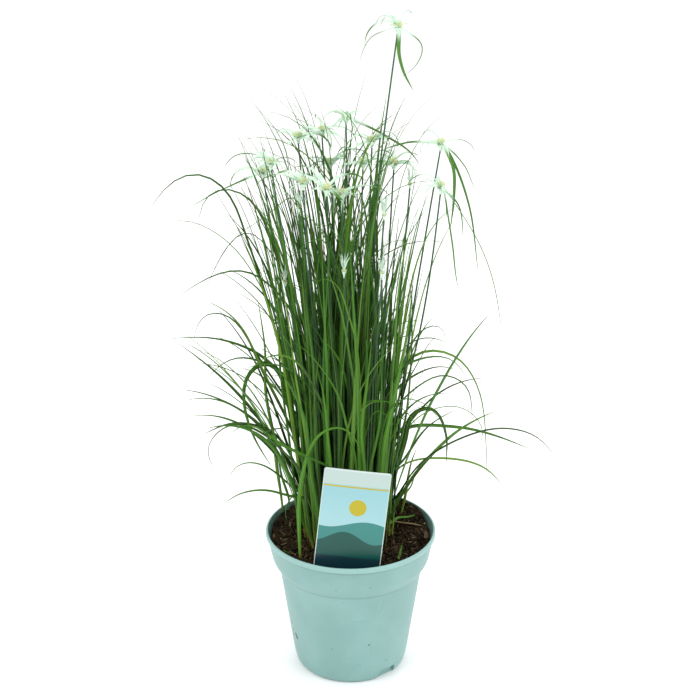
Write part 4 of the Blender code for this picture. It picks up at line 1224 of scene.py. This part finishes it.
# The leaves: widths in mm, the blade's fold in degrees, and how many grow freely between the plants
leafShape = {
    "widen": 1.58, "broadest": 7.2, "fold": 24.0, "thickness": 0.34, "rows": 36, "smoothing": 3,
    "twists": (8, 25, 60, 110), "seed": 21,
    "fineEach": 1, "fineWidth": (1.0, 2.2), "fineLength": (200.0, 470.0),
    "crossing": 80, "crossWidth": (2.4, 5.0), "crossLength": (430.0, 590.0), "crossTop": 668.0,
    "leaning": 22, "leanWidth": (3.2, 5.6), "leanLength": (380.0, 540.0), "leanTop": 610.0,
    "leanAzimuths": (130.0, 230.0),
    "sideLeaves": 18, "sideWidth": (3.0, 6.0), "sideLength": (200.0, 340.0), "sideTop": 420.0,
    "rightAzimuths": (-60.0, 60.0), "leftAzimuths": (120.0, 240.0),
    "bareStems": 14, "bareLength": (330.0, 480.0),
    "wisps": 45, "wispWidth": (0.7, 1.4), "wispLength": (200.0, 480.0),
    "sheaths": 5, "sheathWidth": (2.6, 4.4), "sheathHeight": (9.0, 26.0), "sheathReach": 4.0,
}
leafPaint = {
    "tones": ((0.0, paint(10, 38, 5)), (0.22, paint(32, 78, 9)), (0.45, paint(70, 124, 16)),
              (0.62, paint(44, 96, 27)), (0.8, paint(76, 126, 60)), (1.0, paint(110, 148, 36))),
    "paleRibAndHighlight": paint(134, 170, 98), "foot": paint(118, 148, 56), "sheath": paint(120, 96, 58),
    "tip": paint(150, 120, 70), "tipDark": paint(96, 80, 50), "edge": paint(78, 126, 46),
    # Painted shade deep inside the clump: within which distance of its middle, below which height, and how
    # strong
    "clumpShade": paint(5, 20, 3), "clumpShadeWithin": (64.0, 16.0), "clumpShadeBelow": (520.0, 260.0), "clumpShadeShare": 0.78,
}


# Places along a path with the two directions across it, carried on without a turn
def framesAlong(path, side):
    frames, last = [], len(path) - 1
    for i, place in enumerate(path):
        tangent = (path[min(last, i + 1)] - path[max(0, i - 1)]).normalized()
        side = (side - tangent * side.dot(tangent)).normalized()
        frames.append((place, side, tangent.cross(side)))
    return frames


# A channelled blade; widthAt gives its width at a share of its length and at a distance from its foot
def addBlade(pile, path, side, widthAt, fold, twist, tone, look=0, fine=False):
    last, rings, gone = len(path) - 1, [], 0.0
    outline = ((-1.0, 1.0, 0), (0.0, 0.0, -1), (1.0, 1.0, 0), (0.0, 0.0, 0))
    if not fine:
        outline = ((-1.0, 1.0, 0), (-0.5, 0.33, -1), (0.0, 0.0, -1), (0.5, 0.33, -1),
                   (1.0, 1.0, 0), (0.5, 0.33, 0), (0.0, 0.0, 0), (-0.5, 0.33, 0))
    for i, (place, across, above) in enumerate(framesAlong(path, side)):
        gone += (place - path[max(0, i - 1)]).length
        share = i / last
        angle = twist * share
        turned = across * math.cos(angle) + above * math.sin(angle)
        raised = above * math.cos(angle) - across * math.sin(angle)
        half = max(0.08 * mm, widthAt(share, gone) / 2)
        depth = min(leafShape["thickness"] * mm, half * 0.5)
        ring = []
        for over, lift, below in outline:
            rise = lift * half * math.sin(fold) + below * depth
            spot = place + turned * over * half * math.cos(fold) + raised * rise
            ring.append(pile.point(spot, share, over, gone * 100.0, tone))
        rings.append(ring)
    pile.tube(rings, look)


# A smoother copy of a path that sways a little between its foot and its tip
def swayed(path, rows, rng, amount=1.6):
    places = curveThrough(path, rows)
    for _ in range(leafShape["smoothing"]):
        inner = [(a + b * 2.0 + c) / 4.0 for a, b, c in zip(places, places[1:], places[2:])]
        places = [places[0]] + inner + [places[-1]]
    shift = Vector((rng.uniform(0, 50), rng.uniform(0, 50), rng.uniform(0, 50)))
    for i, place in enumerate(places):
        share = i / rows
        calm = math.sin(math.pi * share) ** 0.7
        place += noise.noise_vector(shift + up * share * 3.0) * amount * calm * mm
    return places


# How the blade of a leaf narrows: clasping at its foot, broad low down, then long and fine to the tip
def leafWidths(width):
    def widthAt(share, gone):
        return width * min(1.0, 0.6 + 2.0 * share) * (1.0 - share ** 2.6) ** 0.85
    return widthAt


# A leaf on its path: the blade's inner side faces the middle of the clump
def addLeaf(pile, path, width, rng, rows=None, fine=False, tone=None, facing=None):
    heading = path[-1] - path[0]
    heading.z = 0.0
    if heading.length < 8.0 * mm:
        heading = path[0] - clumpCentre
        heading.z = 0.0
    side = up.cross(heading.normalized())
    fold = math.radians(leafShape["fold"]) * rng.uniform(0.5, 1.5)
    twist = rng.choice((-1, 1)) * math.radians(rng.choice(leafShape["twists"]))
    tone = rng.random() if tone is None else tone
    if facing is not None:
        side, twist = direction(facing + rng.uniform(-25.0, 25.0)), math.radians(rng.uniform(-25.0, 25.0))
    curve = swayed(path, rows or leafShape["rows"], rng)
    addBlade(pile, curve, side, leafWidths(width), fold, twist, tone, 0, fine)


# How a free leaf may grow: how far it turns outward, its lean, its bend in degrees, how late the bend comes,
# and the spread round the clump's middle that it keeps within, in mm
leafHabits = {
    "upright": ((0.4, 1.4), (0.0, 5.0), (3.0, 34.0), (2.0, 4.5), 105.0),
    "arching": ((0.5, 1.6), (0.0, 8.0), (50.0, 120.0), (2.0, 4.5), 135.0),
    "crossing": ((-0.2, 1.2), (1.0, 9.0), (30.0, 135.0), (3.5, 8.0), 128.0),
    "leaning": ((0.2, 0.9), (4.0, 11.0), (8.0, 60.0), (2.5, 5.0), 138.0),
    "spreading": ((0.3, 1.0), (10.0, 24.0), (20.0, 95.0), (1.2, 3.0), 190.0),
}


# A free leaf's path from a foot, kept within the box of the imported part; each try is a little shorter
def strayPath(foot, rng, length, habit, top=700.0, azimuths=(0.0, 360.0)):
    low, high = cadBounds
    outward, leans, bends, powers, widest = leafHabits[habit]
    offset = foot - clumpCentre
    offset.z = 0.0
    for _ in range(40):
        heading = direction(rng.uniform(*azimuths)) + offset / clumpRadius * rng.uniform(*outward)
        lean, bend = (math.radians(rng.uniform(*angles)) for angles in (leans, bends))
        start = foot + direction(rng.uniform(0.0, 360.0)) * rng.uniform(0.5, 3.0) * mm
        power, sway = rng.uniform(*powers), rng.uniform(-0.14, 0.14)
        path = bentPath(start, heading.normalized(), length, lean, bend, power, sway)
        inside = all(low[k] < place[k] < high[k] for place in path for k in range(3))
        spread = max(math.hypot(place.x - clumpCentre.x, place.y - clumpCentre.y) for place in path)
        inside = inside and spread < widest * mm and all(place.z < top * mm for place in path)
        if inside and staysOutside([(place, 0.0) for place in path]):
            return path
        length *= 0.97
    return None


# Brown papery sheaths that wrap the foot of a plant
def addSheaths(pile, foot, rng):
    shape = leafShape
    for _ in range(shape["sheaths"]):
        outward = direction(rng.uniform(0.0, 360.0))
        start = foot + outward * rng.uniform(1.5, 3.2) * mm - up * 0.5 * mm
        height, reach = rng.uniform(*shape["sheathHeight"]) * mm, shape["sheathReach"] * mm
        path = [start + up * height * t + outward * reach * t ** 2 for t in (0.0, 0.2, 0.4, 0.6, 0.8, 1.0)]
        width = rng.uniform(*shape["sheathWidth"]) * mm
        addBlade(pile, path, up.cross(outward), lambda share, gone: width * (1.0 - share ** 2), 0.6, 0.2,
                 rng.random(), 4, True)


def leafLook():
    look = Look("sedgeLeaf", 0.5, 0.16)
    along, across, tone = look.value("along"), look.value("across"), look.value("tone")
    place = look.place()
    colour = look.ramp(tone, leafPaint["tones"])
    patch = look.grain(look.place((1.0, 1.0, 0.22)), 42.0, 3.0)
    colour = look.mix(look.times(look.step(patch, 0.35, 0.7), 0.35), colour, leafPaint["edge"])
    # Paler veins and midrib, in a colour brightened partly as a painted highlight
    veins = look.maths("SINE", look.times(across, 26.0))
    colour = look.mix(look.times(look.step(veins, 0.2, 1.0), 0.14), colour, leafPaint["paleRibAndHighlight"])
    paleRibAndHighlight = look.step(look.maths("ABSOLUTE", across), 0.2, 0.04)
    colour = look.mix(look.times(paleRibAndHighlight, 0.4), colour, leafPaint["paleRibAndHighlight"])
    # Painted shade: the leaves deep inside the clump and low down are darkened
    (outer, inner), (upper, lower) = leafPaint["clumpShadeWithin"], leafPaint["clumpShadeBelow"]
    within = look.step(look.distance(look.place((1.0, 1.0, 0.0)), clumpCentre), outer * mm, inner * mm)
    clumpShade = look.times(within, look.step(look.height(place), upper * mm, lower * mm))
    colour = look.mix(look.times(clumpShade, leafPaint["clumpShadeShare"]), colour, leafPaint["clumpShade"])
    ragged = look.grain(place, 130.0, 2.0)
    own = look.maths("FRACT", look.times(tone, 7.31))
    foot = look.plus(along, look.times(ragged, 0.05))
    colour = look.mix(look.step(foot, 0.13, 0.03), colour, leafPaint["foot"])
    colour = look.mix(look.times(look.step(foot, 0.055, 0.03), 0.7), colour, leafPaint["sheath"])
    # Dry tips: short on most leaves, long on a few
    start = look.minus(0.997, look.times(look.maths("POWER", own, 12.0), 0.12))
    end = look.minus(along, look.minus(start, look.times(ragged, 0.03)))
    dry = look.mix(look.step(own, 0.45, 0.6), leafPaint["tip"], leafPaint["tipDark"])
    colour = look.mix(look.step(end, 0.0, 0.03), colour, dry)
    look.feed("Base Color", colour)
    look.feed("Roughness", look.plus(look.times(patch, 0.16), 0.42))
    look.bump(look.plus(veins, look.times(ragged, 0.6)), 0.07 * mm, 0.8)
    return look


# The flower stems and their heads, in mm
headShape = {
    "stem": (1.15, 0.85), "stemRows": 40,  # radius at the foot and at the tip
    "whiteTo": (1.9, 3.2),  # between which distances from its foot a bract turns green, in cm
    # Bracts: width near the head, width beyond, and tone, which is 0 for white and 1 for green
    "styles": {"thread": (1.6, 1.2, 0.75), "green": (4.4, 3.9, 1.0), "half": (5.2, 3.2, 0.45),
               "white": (4.6, 2.2, 0.0), "slim": (3.2, 2.1, 0.7), "short": (3.9, 1.7, 0.15),
               "closed": (1.9, 1.1, 0.5)},
    "extraBracts": 4, "extraLength": (30.0, 62.0), "closedLength": (12.0, 24.0), "closedSize": 0.5,
    "upright": (8, 9, 16, 17, 19, 20, 21),
    "funnel": ((-6.5, 1.1), (-4.5, 1.5), (-2.5, 2.4), (-0.8, 3.6), (0.6, 4.3)),  # height and radius
    "spikelets": 54, "turn": 137.5, "domeRadius": 3.6, "domeRise": 2.8,
    "spikeletLength": 4.0, "spikeletWidth": 1.9,
}
headPaint = {
    "white": paint(222, 240, 222), "mint": paint(196, 230, 204), "green": paint(66, 112, 30),
    "spikelet": paint(230, 230, 190), "spikeletTip": paint(198, 196, 120),
    "stem": (paint(40, 70, 40), paint(52, 84, 66)),
}


# A sedge's stem, softly three-cornered
def addStem(pile, path, rng, pointed=False):
    thick, thin = headShape["stem"]
    places = swayed(path, headShape["stemRows"], rng, 1.0)
    rings, tone = [], rng.random()
    for i, (place, across, above) in enumerate(framesAlong(places, direction(rng.uniform(0.0, 360.0)))):
        share = i / headShape["stemRows"]
        ring = []
        for k in range(9):
            angle = 2.0 * math.pi * k / 9
            radius = (thick + (thin - thick) * share) * (1.0 + 0.14 * math.cos(3.0 * angle)) * mm
            radius *= 1.02 - share ** 3 if pointed else 1.0
            ring.append(pile.point(place + (across * math.cos(angle) + above * math.sin(angle)) * radius,
                                   share, math.cos(3.0 * angle), 0.0, tone))
        rings.append(ring)
    pile.tube(rings, 1)


def bractWidths(near, far):
    def widthAt(share, gone):
        swell = min(1.0, 0.55 + gone / mm / 8.0)
        slim = min(1.0, max(0.0, (gone / mm - 14.0) / 18.0))
        slim = slim * slim * (3.0 - 2.0 * slim)
        return (near * (1.0 - slim) + far * slim) * swell * (1.0 - share ** 3.2) * mm
    return widthAt


# One spikelet: a pointed, slightly flattened grain of scales
def addSpikelet(pile, start, way, length, width, tone):
    side = way.cross(up if abs(way.z) < 0.9 else direction(0.0)).normalized()
    above = side.cross(way)
    rings = []
    for share, swell in ((0.0, 0.5), (0.22, 0.92), (0.45, 1.0), (0.7, 0.72), (0.9, 0.3)):
        ring = []
        for k in range(7):
            angle = 2.0 * math.pi * (k + share) / 7
            offset = side * math.cos(angle) + above * math.sin(angle) * 0.8
            ring.append(pile.point(start + way * length * share + offset * swell * width / 2, share,
                                   math.cos(angle * 3.0), 0.0, tone))
        rings.append(ring)
    pile.wall(rings, 3)
    pile.face(rings[0], 3)
    pile.cone(rings[-1], pile.point(start + way * length, 1.0, 0.0, 0.0, tone), 3)


def addBract(pile, path, rng, style):
    heading = path[-1] - path[0]
    heading.z = 0.0
    near, far, tone = headShape["styles"][style]
    curve = swayed(path, 22, rng, 0.8)
    twist = rng.choice((-1, 1)) * math.radians(rng.uniform(5.0, 45.0))
    # Rolled about its own line, so that its flat side shows
    angle = rng.choice((-1, 1)) * math.radians(rng.uniform(20.0, 70.0))
    roll = Matrix.Rotation(angle, 3, heading.normalized())
    addBlade(pile, curve, roll @ up.cross(heading.normalized()), bractWidths(near, far),
             math.radians(rng.uniform(10.0, 30.0)), twist, tone + rng.uniform(-0.12, 0.12), 2)


def addHead(pile, plant, number, rng):
    shape, top = headShape, plant["head"]["top"]
    start = top + up * 0.6 * mm
    closed = number in shape["upright"]
    size = shape["closedSize"] if closed else 1.0
    for path, style in plant["bracts"]:
        if closed:  # a bud's bracts stand up round it
            path = [start + Vector((way.x * 0.25, way.y * 0.25, abs(way.z) + math.hypot(way.x, way.y) * 0.6))
                    for way in (place - start for place in path)]
        addBract(pile, [start] + path, rng, "closed" if closed and style == "short" else style)
    for _ in range(shape["extraBracts"]):
        rise, droop, lengths, style = (76.0, 88.0), (2.0, 22.0), shape["closedLength"], "closed"
        if not closed:
            rise, droop, lengths = (25.0, 65.0), (100.0, 170.0), shape["extraLength"]
            style = rng.choice(("white", "white", "half"))
        length = rng.uniform(*lengths) * mm
        path = bractPath(start, direction(rng.uniform(0.0, 360.0)), length, math.radians(rng.uniform(*rise)),
                         math.radians(rng.uniform(*droop)))
        addBract(pile, path, rng, style)
    # The pale funnel of bract feet that the head sits in
    rings = []
    for height, radius in shape["funnel"]:
        ring = []
        for k in range(18):
            ridge = 1.0 + 0.1 * math.cos(k * math.pi)
            spot = top + (direction(20.0 * k) * radius * ridge * size + up * height) * mm
            ring.append(pile.point(spot, 0.1, ridge - 1.0, 0.2, 0.1))
        rings.append(ring)
    pile.tube(rings, 2)
    middle = top + up * shape["domeRise"] * size * mm
    for i in range(shape["spikelets"]):
        rise = 1.0 - 1.15 * (i + 0.5) / shape["spikelets"]
        flat = math.sqrt(max(0.0, 1.0 - rise * rise))
        way = direction(i * shape["turn"] + rng.uniform(-14.0, 14.0)) * flat
        way += up * (rise * 0.8 + rng.uniform(-0.1, 0.1))
        way.normalize()
        length = shape["spikeletLength"] * size * rng.uniform(0.8, 1.15) * mm
        addSpikelet(pile, middle + way * shape["domeRadius"] * size * 0.45 * mm, way, length,
                    shape["spikeletWidth"] * size * rng.uniform(0.8, 1.15) * mm, rng.random())


def stemLook():
    look = Look("sedgeStem", 0.5, 0.25)
    along, across = look.value("along"), look.value("across")
    streak = look.grain(look.place((1.0, 1.0, 0.12)), 380.0, 2.0)
    colour = look.mix(look.step(along, 0.35, 1.0), *headPaint["stem"])
    colour = look.mix(look.times(look.step(streak, 0.4, 0.7), 0.4), colour, leafPaint["edge"])
    colour = look.mix(look.step(along, 0.09, 0.02), colour, leafPaint["foot"])
    # Paler ridges on the stem's corners, in the leaves' rib colour, which is partly a painted highlight
    colour = look.mix(look.times(look.step(across, 0.75, 1.0), 0.25), colour, leafPaint["paleRibAndHighlight"])
    look.feed("Base Color", colour)
    look.bump(streak, 0.06 * mm, 0.7)
    return look


def bractLook():
    look = Look("whiteBract", 0.5, 0.35)
    along, across = look.value("along"), look.value("across")
    reach, tone = look.value("reach"), look.value("tone")
    cloud = look.grain(look.place(), 190.0, 2.0)
    colour = look.mix(look.step(cloud, 0.35, 0.7), headPaint["white"], headPaint["mint"])
    veins = look.maths("SINE", look.times(across, 24.0))
    colour = look.mix(look.times(look.step(veins, 0.3, 1.0), 0.22), colour, headPaint["mint"])
    where = look.plus(reach, look.times(look.minus(tone, 0.4), 2.6))
    where = look.plus(where, look.times(look.maths("ABSOLUTE", across), 0.25))
    turn = look.step(where, *headShape["whiteTo"])
    green = look.mix(look.step(tone, 0.2, 0.9), headPaint["green"], leafPaint["edge"])
    colour = look.mix(turn, colour, green)
    # The very tips of short bracts are green too, and a thin green line runs up the middle
    colour = look.mix(look.times(look.step(along, 0.75, 1.0), 0.75), colour, green)
    line = look.step(look.maths("ABSOLUTE", across), 0.16, 0.02)
    line = look.times(line, look.step(along, 0.15, 0.6))
    colour = look.mix(look.times(line, 0.35), colour, headPaint["green"])
    look.feed("Base Color", colour)
    look.bump(veins, 0.05 * mm, 0.8)
    return look


def spikeletLook():
    look = Look("spikelet", 0.55, 0.35)
    along, tone = look.value("along"), look.value("tone")
    scales = look.grain(look.place(), 900.0, 2.0)
    colour = look.mix(look.step(scales, 0.35, 0.7), headPaint["spikelet"], headPaint["mint"])
    tip = look.plus(along, look.times(look.minus(tone, 0.5), 0.5))
    colour = look.mix(look.step(tip, 0.55, 1.15), colour, headPaint["spikeletTip"])
    look.feed("Base Color", colour)
    look.bump(scales, 0.3 * mm, 0.9)
    return look


def sheathLook():
    look = Look("paperSheath", 0.7, 0.3)
    along, tone = look.value("along"), look.value("tone")
    streak = look.grain(look.place((1.0, 1.0, 0.15)), 500.0, 3.0)
    colour = look.mix(tone, leafPaint["sheath"], leafPaint["foot"])
    colour = look.mix(look.step(along, 0.2, 0.9), colour, leafPaint["tip"])
    colour = look.mix(look.times(look.step(streak, 0.45, 0.7), 0.5), colour, leafPaint["tipDark"])
    look.feed("Base Color", colour)
    look.bump(streak, 0.1 * mm, 0.8)
    return look


# Leaves that come up on their own at the front and round the sides, from the soil to the tip: width in mm,
# tone, whether the root is hidden behind the others, and spots of the view
frontLeaves = (
    (5.6, 0.5, False, [(300, 558, -57), (299, 530, -60), (298, 510, -60), (299, 490, -60), (302, 474, -60),
                       (310, 448, -62), (320, 433, -64), (341, 427, -66), (353, 435, -68), (361, 454, -70)]),
    (2.4, 0.8, True, [(303, 484, 0), (291, 497, 5), (286, 505, 8), (285, 513, 10), (286, 520, 12),
                      (290, 527, 18), (292, 530, 19)]),
    (2.0, 0.7, True, [(302, 483, 20), (297, 503, 22), (296, 508, 26), (293, 518, 34), (292, 521, 38)]),
    (4.6, 0.9, False, [(283, 511, 44), (282, 503, 45), (281, 492, 46), (279, 481, 44), (276, 457, 41),
                       (273, 429, 40), (270, 415, 39), (266, 390, 37), (265, 350, 34), (261, 320, 32),
                       (257, 295, 30)]),
    (4.0, 0.3, False, [(289, 504, 50), (288, 497, 52), (286, 491, 55), (283, 481, 58), (280, 471, 60),
                       (278, 460, 61), (274, 447, 62)]),
    (4.6, 0.05, False, [(385, 527, 26), (387, 518, 25), (391, 509, 22), (396, 501, 14), (401, 491, 6),
                        (408, 480, -2)]),
    (3.6, 0.95, False, [(401, 514, 48), (403, 505, 48), (405, 495, 46), (407, 481, 45),
                        (411, 461, 43), (417, 447, 41)]),
    (2.6, 0.95, False, [(403, 505, 48), (406, 493, 46), (410, 488, 45), (413, 480, 43), (415, 473, 42)]),
    (3.6, 0.5, False, [(389, 524, 8), (394, 520, 13), (400, 517, 26), (409, 516, 34), (418, 514, 38),
                       (427, 513, 41)]),
    (3.2, 0.6, False, [(399, 559, -61), (401, 550, -58), (402, 544, -56)]),
    (1.6, 0.3, False, [(283, 550, -38), (287, 552, -42), (291, 554, -46)]),
)
# Leaves that stand out within the clump: width in mm, tone and spots of the view above the foot
tallLeaves = (
    (7.4, 0.1, [(339, 465, -30), (339, 425, -34), (337, 381, -36), (333, 350, -38), (329, 289, -40),
                (328, 253, -42), (328, 222, -42), (326, 198, -42)]),
    (5.0, 0.45, [(330, 464, -36), (328, 441, -42), (326, 417, -46), (323, 393, -50), (316, 367, -54)]),
    (5.6, 0.5, [(382, 471, -28), (385, 441, -32), (389, 423, -36), (394, 399, -38), (399, 371, -40),
                (405, 344, -42), (411, 301, -42), (414, 275, -42)]),
    (4.0, 0.3, [(306, 429, -20), (295, 388, -24), (287, 356, -28), (280, 320, -30), (273, 265, -30),
                (267, 226, -30), (257, 182, -30)]),
    (5.6, 0.15, [(316, 453, -30), (315, 405, -34), (313, 356, -36), (308, 320, -36), (302, 253, -36),
                 (299, 231, -36)]),
    (3.4, 0.95, [(303, 417, -30), (295, 368, -34), (288, 320, -36), (284, 295, -36), (274, 243, -36)]),
    (3.2, 0.62, [(323, 405, -30), (324, 356, -38), (328, 277, -44), (328, 241, -48), (320, 231, -50),
                 (307, 243, -52), (291, 258, -54), (268, 275, -56)]),
    (3.6, 0.35, [(356, 459, -34), (348, 429, -42), (340, 399, -48), (330, 381, -52), (308, 353, -58),
                 (295, 342, -60), (283, 339, -60)]),
    (5.0, 0.6, [(310, 478, -36), (308, 453, -42), (307, 429, -46), (296, 398, -54), (279, 371, -58),
                (267, 361, -60)]),
    (4.6, 0.5, [(311, 478, -38), (309, 450, -42), (307, 429, -46), (306, 410, -50)]),
    (4.6, 0.1, [(299, 471, -40), (288, 457, -48), (277, 446, -54), (265, 435, -58), (266, 431, -60),
                (279, 429, -62), (305, 426, -62)]),
    (5.4, 0.4, [(364, 465, -34), (362, 441, -40), (363, 417, -44), (366, 393, -46), (371, 350, -48),
                (372, 327, -48)]),
    (4.0, 0.3, [(371, 465, -30), (377, 441, -34), (381, 417, -36), (382, 393, -38), (381, 368, -38),
                (377, 342, -38)]),
    (3.2, 0.15, [(394, 465, -20), (404, 429, -24), (409, 393, -26), (411, 360, -28), (412, 301, -28),
                 (412, 265, -28)]),
    (3.4, 0.3, [(383, 429, -30), (392, 407, -40), (404, 398, -46), (416, 400, -50), (430, 407, -54),
                (445, 434, -60)]),
    (3.2, 0.97, [(360, 405, -34), (359, 368, -38), (355, 338, -42), (347, 313, -46), (340, 289, -48),
                 (333, 279, -50), (324, 275, -50), (314, 283, -52), (302, 294, -52)]),
    (3.6, 0.25, [(371, 368, -10), (381, 320, -14), (390, 302, -16), (397, 272, -18), (405, 241, -20),
                 (419, 220, -20), (433, 197, -20)]),
    (3.4, 0.25, [(279, 356, -6), (276, 252, -10), (270, 229, -10), (265, 208, -12), (253, 173, -14),
                 (239, 138, -14)]),
    (2.6, 0.45, [(301, 356, -20), (290, 277, -22), (280, 225, -24), (270, 185, -26), (265, 161, -26),
                 (260, 137, -26)]),
    (1.6, 0.5, [(306, 356, 0), (295, 265, -2), (279, 241, -4), (270, 222, -6), (245, 194, -8),
                (222, 165, -10)]),
    (2.6, 0.3, [(301, 216, -30), (299, 192, -32), (295, 188, -34), (278, 210, -36), (261, 220, -38),
                (239, 233, -38), (221, 253, -38), (214, 269, -38)]),
    (4.4, 0.5, [(295, 381, -10), (284, 330, -14), (276, 269, -16), (272, 247, -16), (267, 216, -16)]),
    (3.0, 0.3, [(348, 289, -20), (349, 265, -22), (352, 238, -24), (356, 210, -26), (359, 173, -26)]),
    (4.2, 0.2, [(340, 381, -6), (345, 295, -8), (352, 272, -10), (361, 247, -12), (368, 224, -14),
                (377, 173, -14)]),
    (3.6, 0.2, [(376, 356, -20), (375, 313, -24), (373, 283, -26), (367, 258, -28), (365, 235, -28),
                (364, 204, -28)]),
    (1.4, 0.6, [(400, 368, -30), (411, 319, -34), (406, 270, -40), (397, 255, -42), (380, 237, -44),
                (373, 229, -44)]),
)


def makePlants():
    materials = [leafLook(), stemLook(), bractLook(), spikeletLook(), sheathLook()]
    rng = random.Random(leafShape["seed"])
    plants = planClump()
    print("clump laid out,", len(plants), "plants")
    for number, plant in enumerate(plants, 1):
        pile = Pile()
        for slot in plant["slots"]:
            if slot is None:
                continue
            if slot["kind"] == "stem":
                addStem(pile, slot["path"], rng)
            else:
                width = min(leafShape["broadest"] * mm, slot["width"] * leafShape["widen"])
                addLeaf(pile, slot["path"], width, rng)
        flowering = "head" in plant
        if flowering:
            addHead(pile, plant, number, rng)
        for _ in range(leafShape["fineEach"] * (2 if flowering else 1)):
            habit = rng.choice(("upright", "upright", "arching"))
            path = strayPath(plant["foot"], rng, rng.uniform(*leafShape["fineLength"]) * mm, habit)
            if path:
                addLeaf(pile, path, rng.uniform(*leafShape["fineWidth"]) * mm, rng, 24, True)
        addSheaths(pile, plant["foot"], rng)
        words = plant["name"].split("_")
        name = words[0] + words[1].capitalize() + words[2]
        makePiece(name, pile, materials, [plant["name"]],
                  sharpAngle=50.0)
    makeFreeLeaves(plants, materials, rng)


# Leaves of one habit, each from the foot of a plant that is drawn
def strewLeaves(pile, plants, count, lengths, widths, habit, rng, fine=True, **limits):
    for _ in range(count):
        path = strayPath(rng.choice(plants)["foot"], rng, rng.uniform(*lengths) * mm, habit, **limits)
        if path:
            addLeaf(pile, path, rng.uniform(*widths) * mm, rng, 30, fine)


# Leaves that grow between the plants: the front ones, the tall ones, and free ones drawn at random
def makeFreeLeaves(plants, materials, rng):
    shape = leafShape
    pile = Pile()
    for width, tone, hidden, spots in frontLeaves:
        places = [seenPlace(spot) for spot in spots]
        if hidden:
            places.insert(0, Vector((places[0].x + 5.0 * mm, places[0].y, plants[0]["foot"].z)))
        addLeaf(pile, curveThrough(places, 30), width * mm, rng, None, False, tone, 0.0)
    makePiece("frontLeaves", pile, materials, sharpAngle=50.0)
    pile = Pile()
    for width, tone, spots in tallLeaves:
        places = [seenPlace(spot) for spot in spots]
        # The foot stands inside the clump's front edge, under the leaf's lower stretch
        foot = Vector((places[0].x * 0.75, max(places[0].y * 0.6, -22.0 * mm), plants[0]["foot"].z))
        addLeaf(pile, risingPath(foot, places, 0.4), width * mm, rng, 44, False, tone, 0.0)
    makePiece("tallLeaves", pile, materials, sharpAngle=50.0)
    pile = Pile()
    strewLeaves(pile, plants, shape["crossing"], shape["crossLength"], shape["crossWidth"], "crossing", rng,
                top=shape["crossTop"])
    # The left side of the clump leans out more, with broad leaves
    leftward = [plant for plant in plants if plant["foot"].x < clumpCentre.x - 0.2 * clumpRadius]
    strewLeaves(pile, leftward, shape["leaning"], shape["leanLength"], shape["leanWidth"], "leaning", rng,
                top=shape["leanTop"], azimuths=shape["leanAzimuths"])
    makePiece("crossingLeaves", pile, materials, sharpAngle=50.0)
    pile = Pile()
    for i in range(shape["sideLeaves"]):  # one in six at the right
        side, azimuths = (1, shape["rightAzimuths"]) if i % 6 == 0 else (-1, shape["leftAzimuths"])
        outer = [plant for plant in plants if (plant["foot"].x - clumpCentre.x) * side > 0.45 * clumpRadius]
        strewLeaves(pile, outer, 1, shape["sideLength"], shape["sideWidth"], "spreading", rng, False,
                    top=shape["sideTop"], azimuths=azimuths)
    makePiece("sideLeaves", pile, materials, sharpAngle=50.0)
    pile = Pile()
    for _ in range(shape["bareStems"]):
        path = strayPath(rng.choice(plants)["foot"], rng, rng.uniform(*shape["bareLength"]) * mm, "upright")
        if path:
            addStem(pile, path, rng, True)
    makePiece("bareStems", pile, materials)
    pile = Pile()
    for _ in range(shape["wisps"]):
        path = strayPath(rng.choice(plants)["foot"], rng, rng.uniform(*shape["wispLength"]) * mm,
                         rng.choice(("upright", "arching", "crossing")))
        if path:
            addLeaf(pile, path, rng.uniform(*shape["wispWidth"]) * mm, rng, 22, True)
    makePiece("wisps", pile, materials)


makePlants()
print("plants made")
